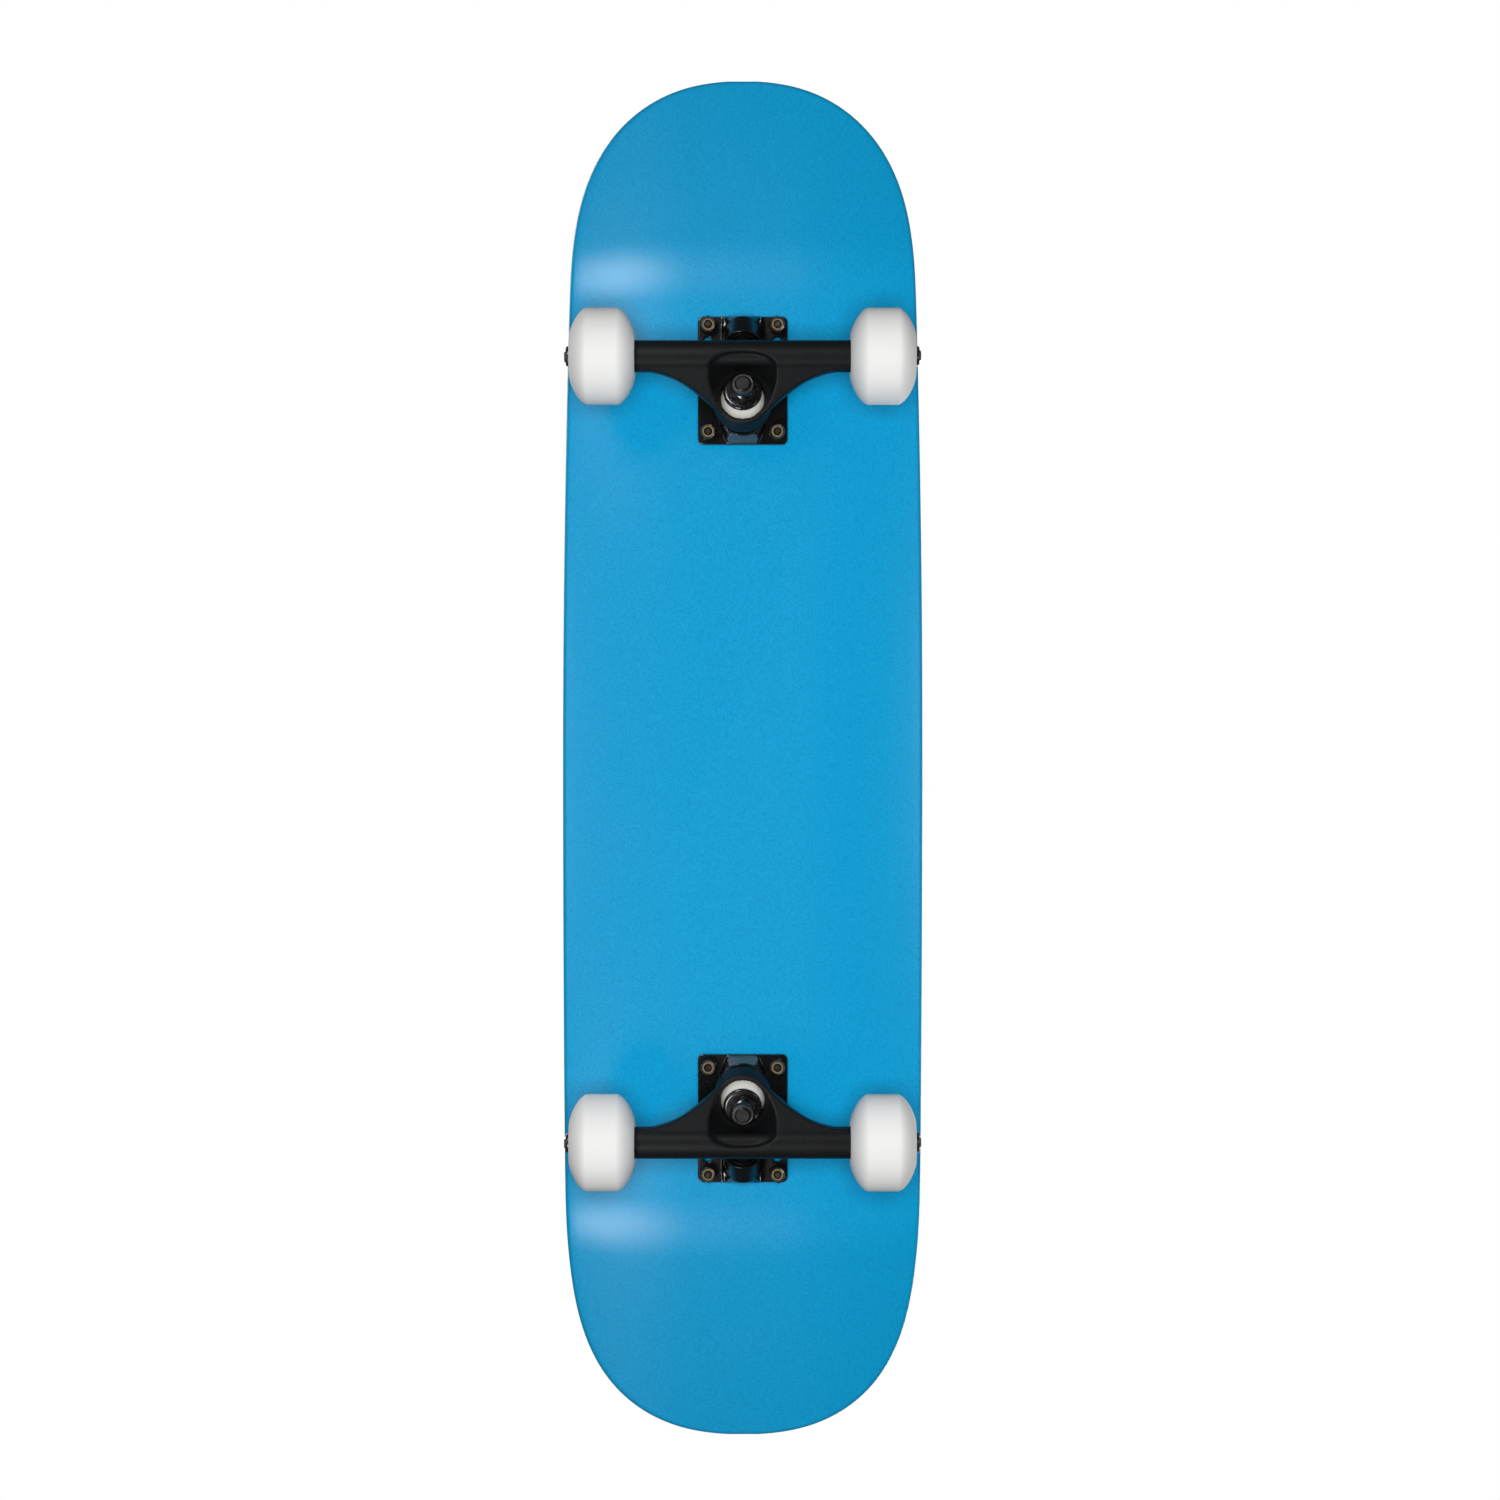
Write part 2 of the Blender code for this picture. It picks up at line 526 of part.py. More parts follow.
def hanger_mesh():
    """Cast hanger: the part common to its plan, side and front outlines, with arms, ring, stem and
    bowl added and cut."""
    across = [FLARE_HALF_WIDTH - i * (FLARE_HALF_WIDTH - 0.7 * RING_RADIUS) / 6 for i in range(7)]
    back = AXLE_CENTRE.x - 0.9 * HANGER_ARM_RADIUS
    half_plan = [(web_flare(y), y) for y in across]
    plan = [(back, across[0])] + half_plan + [(x, -y) for x, y in reversed(half_plan)]
    plan += [(back, -across[0])]
    bottom = AXLE_CENTRE.z - HANGER_ARM_RADIUS
    web_plan = prism("plan", plan, "Z", bottom - 5 * MM, 0)

    arm_frame = Matrix.Translation(AXLE_CENTRE) @ Matrix.Rotation(math.pi / 2, 4, "X")
    stem_root = PIVOT_FRAME @ Vector((0, 0, STEM_LENGTH))
    stem_frame = Matrix.Translation(stem_root) @ Matrix.Rotation(math.pi / 2, 4, "X")
    ring_corners = [
        KINGPIN_FRAME @ Vector((x, 0, z))
        for x, z in (
            (-0.85 * RING_RADIUS, -RING_TOP),
            (0.8 * RING_RADIUS, -RING_TOP),
            (0.8 * RING_RADIUS, -RING_BOTTOM - RING_LIP / 2),
        )
    ]
    side_points = []
    for wide in (-FLARE_HALF_WIDTH, FLARE_HALF_WIDTH):
        side_points += circle(arm_frame, 0.96 * HANGER_ARM_RADIUS, wide)
        side_points += circle(stem_frame, STEM_ROOT_RADIUS, wide)
        side_points += [Vector((p.x, wide, p.z)) for p in ring_corners]
    web_side = hull("side", side_points)

    crown = stem_root.z + 1.2 * STEM_ROOT_RADIUS
    arm_top = AXLE_CENTRE.z + 0.9 * HANGER_ARM_RADIUS
    half_front = [
        (FLARE_HALF_WIDTH + MM, bottom + 2 * MM),
        (FLARE_HALF_WIDTH + MM, arm_top - 2 * MM),
        (2.2 * RING_RADIUS, arm_top),
        (1.1 * RING_RADIUS, RING_CENTRE.z + RING_WEB / 2),
        (0.7 * RING_RADIUS, crown),
    ]
    front = half_front + [(-y, z) for y, z in reversed(half_front)]
    web_front = prism("front", front, "X", -60 * MM, 60 * MM)

    arms_half = HANGER_LENGTH / 2
    chamfer = 0.8 * MM
    arm = [
        (0, -arms_half),
        (HANGER_ARM_RADIUS - chamfer, -arms_half),
        (HANGER_ARM_RADIUS, -arms_half + chamfer),
        (HANGER_ARM_RADIUS, arms_half - chamfer),
        (HANGER_ARM_RADIUS - chamfer, arms_half),
        (0, arms_half),
    ]
    arms = turned("arms", arm, MEDIUM, phase=0.5)
    ring = drill("ring", RING_RADIUS, -RING_BOTTOM - RING_LIP, -RING_TOP + RING_LIP, FINE)
    stem = [
        (0, -PIVOT_BALL_RADIUS),
        (0.7 * PIVOT_BALL_RADIUS, -0.7 * PIVOT_BALL_RADIUS),
        (PIVOT_BALL_RADIUS, 0),
        (0.98 * PIVOT_BALL_RADIUS, 0.5 * PIVOT_BALL_RADIUS),
        (0.9 * STEM_ROOT_RADIUS, STEM_LENGTH - 0.5 * STEM_ROOT_RADIUS),
        (0, STEM_LENGTH),
    ]

    # The bowl opens from the throat round the kingpin to a rounded triangle on the road side
    throat = KINGPIN_NUT_FLATS / math.sqrt(3) + SOCKET_SLACK
    below = bottom - 3 * MM
    rim = [
        (AXLE_CENTRE.x - 0.3 * HANGER_ARM_RADIUS, 0.5 * BOWL_HALF_WIDTH),
        (AXLE_CENTRE.x + 0.2 * HANGER_ARM_RADIUS, 0.88 * BOWL_HALF_WIDTH),
        (AXLE_CENTRE.x + HANGER_ARM_RADIUS, BOWL_HALF_WIDTH),
        (AXLE_CENTRE.x + 2 * HANGER_ARM_RADIUS, 0.8 * BOWL_HALF_WIDTH),
    ]
    bowl_points = [Vector((x, s * y, below)) for x, y in rim for s in (1, -1)]
    bowl_points += circle(KINGPIN_FRAME, RING_SEAT_RADIUS - 0.4 * MM, -RING_BOTTOM - RING_LIP)
    bowl_points += washer_room()
    bowl_points += circle(KINGPIN_FRAME, RING_SEAT_RADIUS, -KINGPIN_END - 10 * MM)
    bowl = hull("bowl", bowl_points)
    sleeve_radius = AXLE_RADIUS + GAP + AXLE_SLEEVE_WALL
    sleeve = drill("sleeve", sleeve_radius, -1.3 * BOWL_HALF_WIDTH, 1.3 * BOWL_HALF_WIDTH)
    throat_profile = [
        (0, -RING_BOTTOM),
        (RING_SEAT_RADIUS, -RING_BOTTOM),
        (RING_SEAT_RADIUS, -RING_BOTTOM - RING_LIP - MM),
        (throat, -KINGPIN_NUT_TOP - 0.5 * KINGPIN_NUT_HEIGHT),
        (throat, -KINGPIN_END - 10 * MM),
        (0, -KINGPIN_END - 10 * MM),
    ]
    kingpin_way = drill("way", KINGPIN_RADIUS + RING_HOLE_SLACK, -RING_BOTTOM - MM, -RING_TOP + MM)
    top_seat = drill("top_seat", RING_SEAT_RADIUS, -RING_TOP, -BOSS_SEAT, FINE)
    axle_bore = drill("axle_bore", AXLE_RADIUS + GAP, -HANGER_LENGTH, HANGER_LENGTH)
    steps = [
        ("INTERSECT", web_side, Matrix()),
        ("INTERSECT", web_front, Matrix()),
        ("UNION", arms, arm_frame),
        ("UNION", turned("stem", stem, MEDIUM), PIVOT_FRAME),
        ("UNION", ring, KINGPIN_FRAME),
        ("DIFFERENCE", bowl, Matrix()),
        ("UNION", sleeve, arm_frame),
        ("DIFFERENCE", turned("throat", throat_profile, FINE), KINGPIN_FRAME),
        ("DIFFERENCE", top_seat, KINGPIN_FRAME),
        ("DIFFERENCE", kingpin_way, KINGPIN_FRAME),
        ("DIFFERENCE", axle_bore, arm_frame),
    ]
    return combine("hanger", web_plan, steps)


def nut_mesh(name, flats, height, hole):
    """Locknut with its flat face at 0 and its round collar at the far end, along -Z."""
    collar = 0.3 * height
    collar_profile = [
        (0, -0.5 * height),
        (0.47 * flats, -0.5 * height),
        (0.47 * flats, -height + 0.4 * collar),
        (0.38 * flats, -height),
        (0, -height),
    ]
    body = hexagon(name, flats, -height + collar, 0, chamfer=0.04 * flats)
    steps = [
        ("UNION", turned("collar", collar_profile, COARSE), Matrix()),
        ("DIFFERENCE", drill("hole", hole, -2 * height, height), Matrix()),
    ]
    return combine(name, body, steps)


def washer_mesh(radius, lip_down):
    """Cupped washer with its board-side face at 0, its rim turned towards the bushing."""
    bottom = -WASHER_THICKNESS
    lip = -WASHER_THICKNESS - WASHER_LIP if lip_down else WASHER_LIP
    face = bottom if lip_down else 0.0
    back = 0.0 if lip_down else bottom
    profile = [
        (KINGPIN_HOLE, back),
        (radius, back),
        (radius + WASHER_WALL, (back + face) / 2),
        (radius + WASHER_WALL, lip),
        (radius, lip),
        (radius, face),
        (KINGPIN_HOLE, face),
    ]
    return turned("washer", profile, MEDIUM)


def bushing_mesh(board_end, road_end, height, belly):
    middle = (board_end + road_end) / 2 + belly
    profile = [
        (KINGPIN_HOLE, 0),
        (board_end, 0),
        (middle, -height / 2),
        (road_end, -height),
        (KINGPIN_HOLE, -height),
    ]
    return turned("bushing", profile, MEDIUM)


def kingpin_mesh():
    """Kingpin with its head as high in the tilted pocket as the deck allows."""
    head_bottom = BOSS_SEAT - BOSS_HEAD_WALL - GAP
    tilt_room = 2 * GAP + KINGPIN_HEAD_RADIUS * math.sin(KINGPIN_LEAN)
    head_top = tilt_room / math.cos(KINGPIN_LEAN)
    profile = [
        (0, -head_top),
        (KINGPIN_HEAD_RADIUS, -head_top),
        (KINGPIN_HEAD_RADIUS, -head_bottom),
        (KINGPIN_RADIUS, -head_bottom),
        (KINGPIN_RADIUS, -KINGPIN_END + 0.7 * MM),
        (KINGPIN_RADIUS - 0.7 * MM, -KINGPIN_END),
        (0, -KINGPIN_END),
    ]
    return turned("kingpin", profile, MEDIUM)


def pivot_cup_mesh():
    """Cup round the stem's ball, its mouth flared for the stem's swing."""
    ball = PIVOT_BALL_RADIUS + GAP
    floor = -ball - PIVOT_CUP_WALL
    profile = [
        (0, floor),
        (PIVOT_CUP_RADIUS, floor),
        (PIVOT_CUP_RADIUS, PIVOT_CUP_DEPTH),
        (PIVOT_CUP_RADIUS - 0.8 * MM, PIVOT_CUP_DEPTH),
        (ball, 0),
        (0.75 * ball, -0.75 * ball),
        (0, -ball),
    ]
    return turned("pivot_cup", profile, MEDIUM)


def axle_mesh():
    chamfer = 0.6 * MM
    half = [(0, 1), (AXLE_RADIUS - chamfer, 1), (AXLE_RADIUS, 0)]
    top = [(r, AXLE_HALF - (1 - end) * chamfer) for r, end in half]
    return turned("axle", top + [(r, -z) for r, z in reversed(top)], COARSE)


def wheel_mesh():
    """Urethane wheel with a facet, not a corner, at the bottom, and both bearing seats."""
    apothem = 1 / math.cos(math.pi / FINE)
    half_width, tread = WHEEL_WIDTH / 2, WHEEL_TREAD / 2

    def fullness(radius):
        """How far out the side is at a radius, as a share of a side that ran in to its foot."""
        way = (radius - WHEEL_SIDE_FOOT) / (WHEEL_RADIUS - WHEEL_SIDE_FOOT)
        return (1 - way**WHEEL_SIDE_ROUND) ** (1 / WHEEL_SIDE_ROUND)

    side = (half_width - tread) / fullness(WHEEL_MOUTH_RADIUS)
    drop = WHEEL_RADIUS - WHEEL_MOUTH_RADIUS
    radii = [WHEEL_RADIUS - drop * share for share in (0, 0.12, 0.36, 0.66, 1)]
    rounding = [(radius, tread + side * fullness(radius)) for radius in radii]
    seat = BEARING_RADIUS + GAP
    mouth = SPACER_LENGTH / 2 + BEARING_WIDTH + GAP
    shoulder = SPACER_LENGTH / 2 - GAP
    half = rounding + [(seat, mouth), (seat, shoulder), (seat - HUB_SHOULDER, shoulder)]
    profile = [(r * apothem, y) for r, y in half]
    return turned("wheel", profile + [(r, -y) for r, y in reversed(profile)], FINE, phase=0.5)


def bearing_mesh():
    """Outer ring with its two shields, in one section."""
    half = [
        (BEARING_RADIUS, BEARING_WIDTH / 2),
        (SHIELD_HOLE, BEARING_WIDTH / 2),
        (SHIELD_HOLE, BEARING_WIDTH / 2 - SHIELD_THICKNESS),
        (BEARING_LAND, BEARING_WIDTH / 2 - SHIELD_THICKNESS),
    ]
    return turned("bearing", half + [(r, -y) for r, y in reversed(half)], COARSE)


def stack_mesh():
    """Speed rings, inner rings and spacer, which stand still on the axle as one clamped stack."""
    bore = AXLE_RADIUS + GAP
    half = [
        (bore, STACK_HALF),
        (INNER_RING_RADIUS, STACK_HALF),
        (INNER_RING_RADIUS, SPACER_LENGTH / 2),
        (SPACER_RADIUS, SPACER_LENGTH / 2),
    ]
    return turned("stack", half + [(r, -y) for r, y in reversed(half)], COARSE)


def truck_meshes():
    black_gloss = make_material("black_gloss_enamel", (0.006, 0.006, 0.007), 0.18, 0.2)
    black_satin = make_material("black_satin_cast", (0.012, 0.012, 0.013), 0.42, 0.2)
    ivory = make_material("ivory_urethane", (0.86, 0.85, 0.8), 0.45)
    steel = make_material("zinc_steel", (0.55, 0.55, 0.56), 0.3, 1)
    black_steel = make_material("black_steel", (0.01, 0.01, 0.011), 0.25, 0.6)
    white = make_material("white_urethane", (0.87, 0.87, 0.86), 0.35)
    roadside_washer = ROADSIDE_BUSHING_END + GAP
    boardside_washer = BOARDSIDE_BUSHING_END + GAP
    boardside = (BOARDSIDE_BUSHING_END, BUSHING_RADIUS, BOARDSIDE_BUSHING_HEIGHT, 0.6 * MM)
    roadside = (BUSHING_RADIUS, ROADSIDE_BUSHING_END, ROADSIDE_BUSHING_HEIGHT, 0.3 * MM)
    made = {
        "baseplate": (baseplate_mesh(), black_gloss),
        "pivot_cup": (pivot_cup_mesh(), ivory),
        "kingpin": (kingpin_mesh(), black_steel),
        "kingpin_nut": (
            nut_mesh("kingpin_nut", KINGPIN_NUT_FLATS, KINGPIN_NUT_HEIGHT, KINGPIN_HOLE),
            black_steel,
        ),
        "boardside_washer": (washer_mesh(boardside_washer, lip_down=True), black_steel),
        "roadside_washer": (washer_mesh(roadside_washer, lip_down=False), black_steel),
        "boardside_bushing": (bushing_mesh(*boardside), ivory),
        "roadside_bushing": (bushing_mesh(*roadside), ivory),
        "hanger": (hanger_mesh(), black_satin),
        "axle": (axle_mesh(), steel),
        "wheel": (wheel_mesh(), white),
        "bearing": (bearing_mesh(), steel),
        "spacer_stack": (stack_mesh(), steel),
        "axle_nut": (
            nut_mesh("axle_nut", AXLE_NUT_FLATS, AXLE_NUT_HEIGHT, AXLE_RADIUS + GAP),
            black_steel,
        ),
        "bolt": (turned("bolt", bolt_profile(), COARSE), black_steel),
        "locknut": (
            nut_mesh("locknut", LOCKNUT_FLATS, LOCKNUT_HEIGHT, BOLT_RADIUS + GAP),
            black_steel,
        ),
    }
    return {key: finish(mesh, material) for key, (mesh, material) in made.items()}


def make_truck(end_name, side, meshes):
    """One truck; the front one is the rear one turned half round."""
    turn = Matrix.Rotation(math.pi if side > 0 else 0, 4, "Z")
    place = Matrix.Translation((truck_place(side), 0, DECK_UNDERSIDE)) @ turn
    truck = make_object(f"{end_name}_truck", None, frame=place)
    steer = make_object(f"{end_name}_steer_axis", None, truck, Matrix.Translation(PIVOT))
    to_steer = Matrix.Translation(-PIVOT)

    def put(name, key, parent, frame):
        make_object(f"{end_name}_{name}", meshes[key], parent, frame)

    put("baseplate", "baseplate", truck, Matrix())
    put("pivot_cup", "pivot_cup", truck, PIVOT_FRAME)
    put("kingpin", "kingpin", truck, KINGPIN_FRAME)
    for key, top in (
        ("boardside_washer", BOARDSIDE_WASHER_TOP),
        ("boardside_bushing", BOARDSIDE_BUSHING_TOP),
        ("roadside_bushing", ROADSIDE_BUSHING_TOP),
        ("roadside_washer", ROADSIDE_WASHER_TOP),
        ("kingpin_nut", KINGPIN_NUT_TOP),
    ):
        put(key, key, truck, KINGPIN_FRAME @ Matrix.Translation((0, 0, -top)))
    for number, (x, y) in enumerate(bolt_places(HOLES_LONG, HOLES_WIDE), 1):
        put(f"bolt_{number}", "bolt", truck, Matrix.Translation((x, y, 0)))
        nut_top = -GAP - PLATE_THICKNESS - GAP
        put(f"locknut_{number}", "locknut", truck, Matrix.Translation((x, y, nut_top)))

    put("hanger", "hanger", steer, to_steer)
    axle_line = to_steer @ Matrix.Translation(AXLE_CENTRE)
    put("axle", "axle", steer, axle_line @ Matrix.Rotation(math.pi / 2, 4, "X"))
    for hand, way in (("left", 1), ("right", -1)):
        local = way * (-1 if side > 0 else 1)
        lie = Matrix.Rotation(local * math.pi / 2, 4, "X")
        wheel = axle_line @ Matrix.Translation((0, local * WHEEL_PLACE, 0)) @ lie
        bearing_shift = (SPACER_LENGTH + BEARING_WIDTH) / 2
        outer = Matrix.Translation((0, 0, -bearing_shift))
        inner = Matrix.Translation((0, 0, bearing_shift))
        nut = Matrix.Translation((0, 0, -STACK_HALF - GAP))
        put(f"{hand}_wheel", "wheel", steer, wheel)
        put(f"{hand}_outer_bearing", "bearing", steer, wheel @ outer)
        put(f"{hand}_inner_bearing", "bearing", steer, wheel @ inner)
        put(f"{hand}_spacer_stack", "spacer_stack", steer, wheel)
        put(f"{hand}_axle_nut", "axle_nut", steer, wheel @ nut)


def main():
    clear_scene()
    make_deck()
    meshes = truck_meshes()
    make_truck("front", 1, meshes)
    make_truck("rear", -1, meshes)


main()
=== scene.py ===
"""Skateboard: the finished deck, grip tape, trucks and wheels, built round the packed frame.

Metres, +Z up, +X to the nose, +Y to the left, and the wheels stand on Z = 0. A truck is made in its
own frame: the origin is the middle of its four bolts on the deck's underside, x runs inboard to the
middle of the board, and everything hangs at a negative z. Turned pieces are made round their own
Z axis and then put in place. Run it as a script; its panel then lists every step.
"""

import math

import bmesh
import bpy
from bpy.props import FloatProperty, FloatVectorProperty, IntProperty, PointerProperty
from mathutils import Matrix, Vector


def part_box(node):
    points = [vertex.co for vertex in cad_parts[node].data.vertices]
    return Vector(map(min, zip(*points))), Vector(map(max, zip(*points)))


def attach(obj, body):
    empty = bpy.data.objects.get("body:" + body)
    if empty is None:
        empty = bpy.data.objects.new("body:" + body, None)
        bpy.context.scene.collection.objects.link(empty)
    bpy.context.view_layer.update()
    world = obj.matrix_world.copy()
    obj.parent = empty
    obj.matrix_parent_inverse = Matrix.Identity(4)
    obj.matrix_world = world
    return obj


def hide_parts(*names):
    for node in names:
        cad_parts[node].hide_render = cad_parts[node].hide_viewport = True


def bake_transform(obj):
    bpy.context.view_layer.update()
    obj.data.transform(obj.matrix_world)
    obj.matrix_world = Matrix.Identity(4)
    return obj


bl_info = {
    "name": "Skateboard Builder",
    "version": (1, 0, 0),
    "blender": (4, 5, 0),
    "location": "View3D > Sidebar > Skateboard",
    "description": "Builds the finished pieces of a skateboard round its packed frame",
    "category": "Object",
}

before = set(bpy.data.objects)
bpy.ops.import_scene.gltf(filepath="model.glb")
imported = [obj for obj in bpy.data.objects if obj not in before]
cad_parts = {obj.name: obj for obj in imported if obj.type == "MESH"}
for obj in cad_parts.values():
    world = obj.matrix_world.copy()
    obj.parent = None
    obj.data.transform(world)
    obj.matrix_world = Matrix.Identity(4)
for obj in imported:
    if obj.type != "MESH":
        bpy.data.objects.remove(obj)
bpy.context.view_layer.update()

MM = 0.001
GAP = 0.3 * MM
ENDS = ("front", "rear")
HANDS = ("left", "right")

# Deck outline, bends and dish, as the deck was pressed and cut
KICK_MARGIN = 15 * MM
DISH_FLAT_WIDTH = 60 * MM
OUTLINE_SQUARENESS = 2.15
NOSE = {"side": 1, "round_length": 254 * MM, "round_power": 5.7, "taper": 3.5 * MM}
TAIL = {"side": -1, "round_length": 142 * MM, "round_power": 3.05, "taper": 9.4 * MM}

# Facets round a turned piece, and the sharpest edges that stay smooth
WHEEL_STEPS = 112
FINE_STEPS = 64
SMALL_STEPS = 40
SMOOTH_ANGLE = math.radians(32)


def middle(node):
    """The middle of a packed node's box."""
    low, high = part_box(node)
    return (low + high) / 2


def bolt_spread(axis):
    """How far apart the bolts of a truck stand along X (0) or Y (1)."""
    places = [middle(f"rear_bolt_{i}")[axis] for i in range(1, 5)]
    return max(places) - min(places)


HOLES_LONG = bolt_spread(0)
HOLES_WIDE = bolt_spread(1)
PLATE_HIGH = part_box("rear_baseplate")[1]
DECK_UNDERSIDE = PLATE_HIGH.z + GAP
TRUCK_PLACES = {
    end: sum(middle(f"{end}_bolt_{i}").x for i in range(1, 5)) / 4 for end in ENDS
}


# ------------------------------------------------------------------------------------ settings


def distance(name, description, default):
    return FloatProperty(name=name, description=description, default=default, unit="LENGTH")


def colour(name, description, default):
    return FloatVectorProperty(
        name=name, description=description, default=default, size=3, subtype="COLOR", min=0, max=1
    )


class DeckSettings(bpy.types.PropertyGroup):
    """Sizes and colours of the deck and its grip tape."""

    length: distance("Length", "Straight length from tip to tip", 828 * MM)
    width: distance("Width", "Width at the middle", 216 * MM)
    thickness: distance("Thickness", "Thickness of the pressed plies", 11 * MM)
    edge_round: distance("Edge round", "Radius of the rounded rim", 3.6 * MM)
    kick_angle: FloatProperty(
        name="Kick angle",
        description="How steeply nose and tail rise",
        default=math.radians(20),
        subtype="ANGLE",
    )
    kick_radius: distance("Kick radius", "Radius of the bend into a kick", 115 * MM)
    dish_depth: distance("Dish depth", "How far the long edges rise", 11 * MM)
    plies: IntProperty(name="Plies", description="Layers of maple", default=7, min=3)
    grip_thickness: distance("Grip thickness", "Thickness of the grip tape", 0.9 * MM)
    paint: colour("Paint", "Blue of the underside", (0.0015, 0.362, 0.70))
    pale_ply: colour("Pale ply", "Maple cut along its grain", (0.56, 0.36, 0.19))
    brown_ply: colour("Brown ply", "Maple cut across its grain", (0.36, 0.19, 0.085))
    grip: colour("Grip", "Black of the abrasive", (0.012, 0.012, 0.013))


class TruckSettings(bpy.types.PropertyGroup):
    """Sizes and colours of the trucks."""

    plate_thickness: distance("Plate thickness", "Thickness of the baseplate", 5 * MM)
    boss_radius: distance("Boss radius", "Radius of the kingpin boss", 13.3 * MM)
    kingpin_base: distance("Kingpin base", "Where the kingpin's axis meets the deck", 27 * MM)
    kingpin_lean: FloatProperty(
        name="Kingpin lean",
        description="How far the kingpin leans outboard",
        default=math.radians(18),
        subtype="ANGLE",
    )
    kingpin_radius: distance("Kingpin radius", "Radius of the kingpin", 4.76 * MM)
    bushing_radius: distance("Bushing radius", "Widest radius of a bushing", 13 * MM)
    arm_radius: distance("Arm radius", "Radius of the hanger's round arms", 9.3 * MM)
    axle_radius: distance("Axle radius", "Radius of the axle", 4 * MM)
    cast_round: IntProperty(
        name="Cast rounding", description="Passes of smoothing on a casting", default=7, min=0
    )
    hanger: colour("Hanger", "Black of the satin powder coat", (0.0055, 0.006, 0.0065))
    baseplate: colour("Baseplate", "Black of the gloss enamel", (0.0022, 0.0022, 0.0025))
    steel_black: colour("Black steel", "Black of the nuts and bolts", (0.0035, 0.0035, 0.004))
    collar: colour("Nut collar", "Amber nylon in the locknuts", (0.37, 0.245, 0.085))
    bushing: colour("Bushing", "Ivory urethane", (0.82, 0.81, 0.76))


class WheelSettings(bpy.types.PropertyGroup):
    """Sizes and colours of the wheels and their bearings."""

    tread: distance("Tread", "Width of the flat tread", 17.4 * MM)
    width: distance("Width", "Width of a wheel", 38 * MM)
    mouth_radius: distance("Mouth radius", "Radius of the mouth round a bearing", 13.2 * MM)
    side_round: FloatProperty(
        name="Side round", description="How full the wheel's sides are", default=1.6, min=1, max=4
    )
    bearing_radius: distance("Bearing radius", "Outer radius of a bearing", 11 * MM)
    bearing_width: distance("Bearing width", "Width of a bearing", 7 * MM)
    spacer_length: distance("Spacer length", "Gap between the two bearings", 10 * MM)
    urethane: colour("Urethane", "White of the wheels", (0.735, 0.735, 0.73))
    print_black: colour("Print black", "Dark bars printed on the wheels", (0.012, 0.012, 0.014))
    print_red: colour("Print red", "Small red bars printed on the wheels", (0.62, 0.03, 0.03))


class StageSettings(bpy.types.PropertyGroup):
    """Camera, floor and lights."""

    distance: distance("Distance", "From the camera to the deck's underside", 1.9)
    frame_width: distance("Frame width", "Width of the view at the deck", 0.8955)
    aim_x: distance("Aim X", "Where the camera looks along the deck", -0.0052)
    aim_y: distance("Aim Y", "Where the camera looks across the deck", -0.0043)
    floor: colour("Floor", "Pale floor", (0.82, 0.82, 0.81))
    key: FloatProperty(
        name="Key light", description="Power of the light below", default=27, unit="POWER"
    )
    side: FloatProperty(
        name="Side lights", description="Power of the two side lights", default=17, unit="POWER"
    )
    sheen: FloatProperty(
        name="Sheen lights",
        description="Power of the two lights that skim the trucks",
        default=1.2,
        unit="POWER",
    )
    top: FloatProperty(
        name="Top light", description="Power of the light above", default=22, unit="POWER"
    )


# --------------------------------------------------------------------------------- shader nodes


def node(tree, kind, inputs=None, **settings):
    """Add a shader node; an input given as a socket is linked, any other is set."""
    made = tree.nodes.new(f"ShaderNode{kind}")
    for key, value in settings.items():
        setattr(made, key, value)
    for key, value in (inputs or {}).items():
        if isinstance(value, bpy.types.NodeSocket):
            tree.links.new(value, made.inputs[key])
        else:
            made.inputs[key].default_value = value
    return made


def calc(tree, operation, a, b=0.0, c=0.0):
    return node(tree, "Math", {0: a, 1: b, 2: c}, operation=operation).outputs[0]


def remap(tree, value, low, high, to_low=0.0, to_high=1.0):
    inputs = {"Value": value, 1: low, 2: high, 3: to_low, 4: to_high}
    return node(tree, "MapRange", inputs).outputs[0]


def blend_color(tree, factor, a, b, mode="MIX"):
    made = node(tree, "Mix", {0: factor, 6: a, 7: b}, data_type="RGBA", blend_type=mode)
    return made.outputs[2]


def rgba(color):
    return (*color, 1.0)


def noise(tree, vector, scale, detail=2.0, roughness=0.5):
    inputs = {"Vector": vector, "Scale": scale, "Detail": detail, "Roughness": roughness}
    return node(tree, "TexNoise", inputs).outputs["Fac"]


def object_place(tree):
    return node(tree, "TexCoord").outputs["Object"]


def own_place(tree):
    """The piece's own coordinates, from before it was put in its place."""
    return node(tree, "Attribute", attribute_name="own_place").outputs["Vector"]


def stretched(tree, vector, scale):
    return node(tree, "Mapping", {"Vector": vector, "Scale": scale}).outputs["Vector"]


def effect(name, inputs, outputs):
    """Start a shader node group; returns it with its input sockets by name and its output node."""
    group = bpy.data.node_groups.new(name, "ShaderNodeTree")
    for label, kind, default in inputs:
        socket = group.interface.new_socket(
            name=label, in_out="INPUT", socket_type=f"NodeSocket{kind}"
        )
        socket.default_value = default
    for label, kind in outputs:
        group.interface.new_socket(name=label, in_out="OUTPUT", socket_type=f"NodeSocket{kind}")
    given = group.nodes.new("NodeGroupInput").outputs
    result = group.nodes.new("NodeGroupOutput").inputs
    return group, given, result


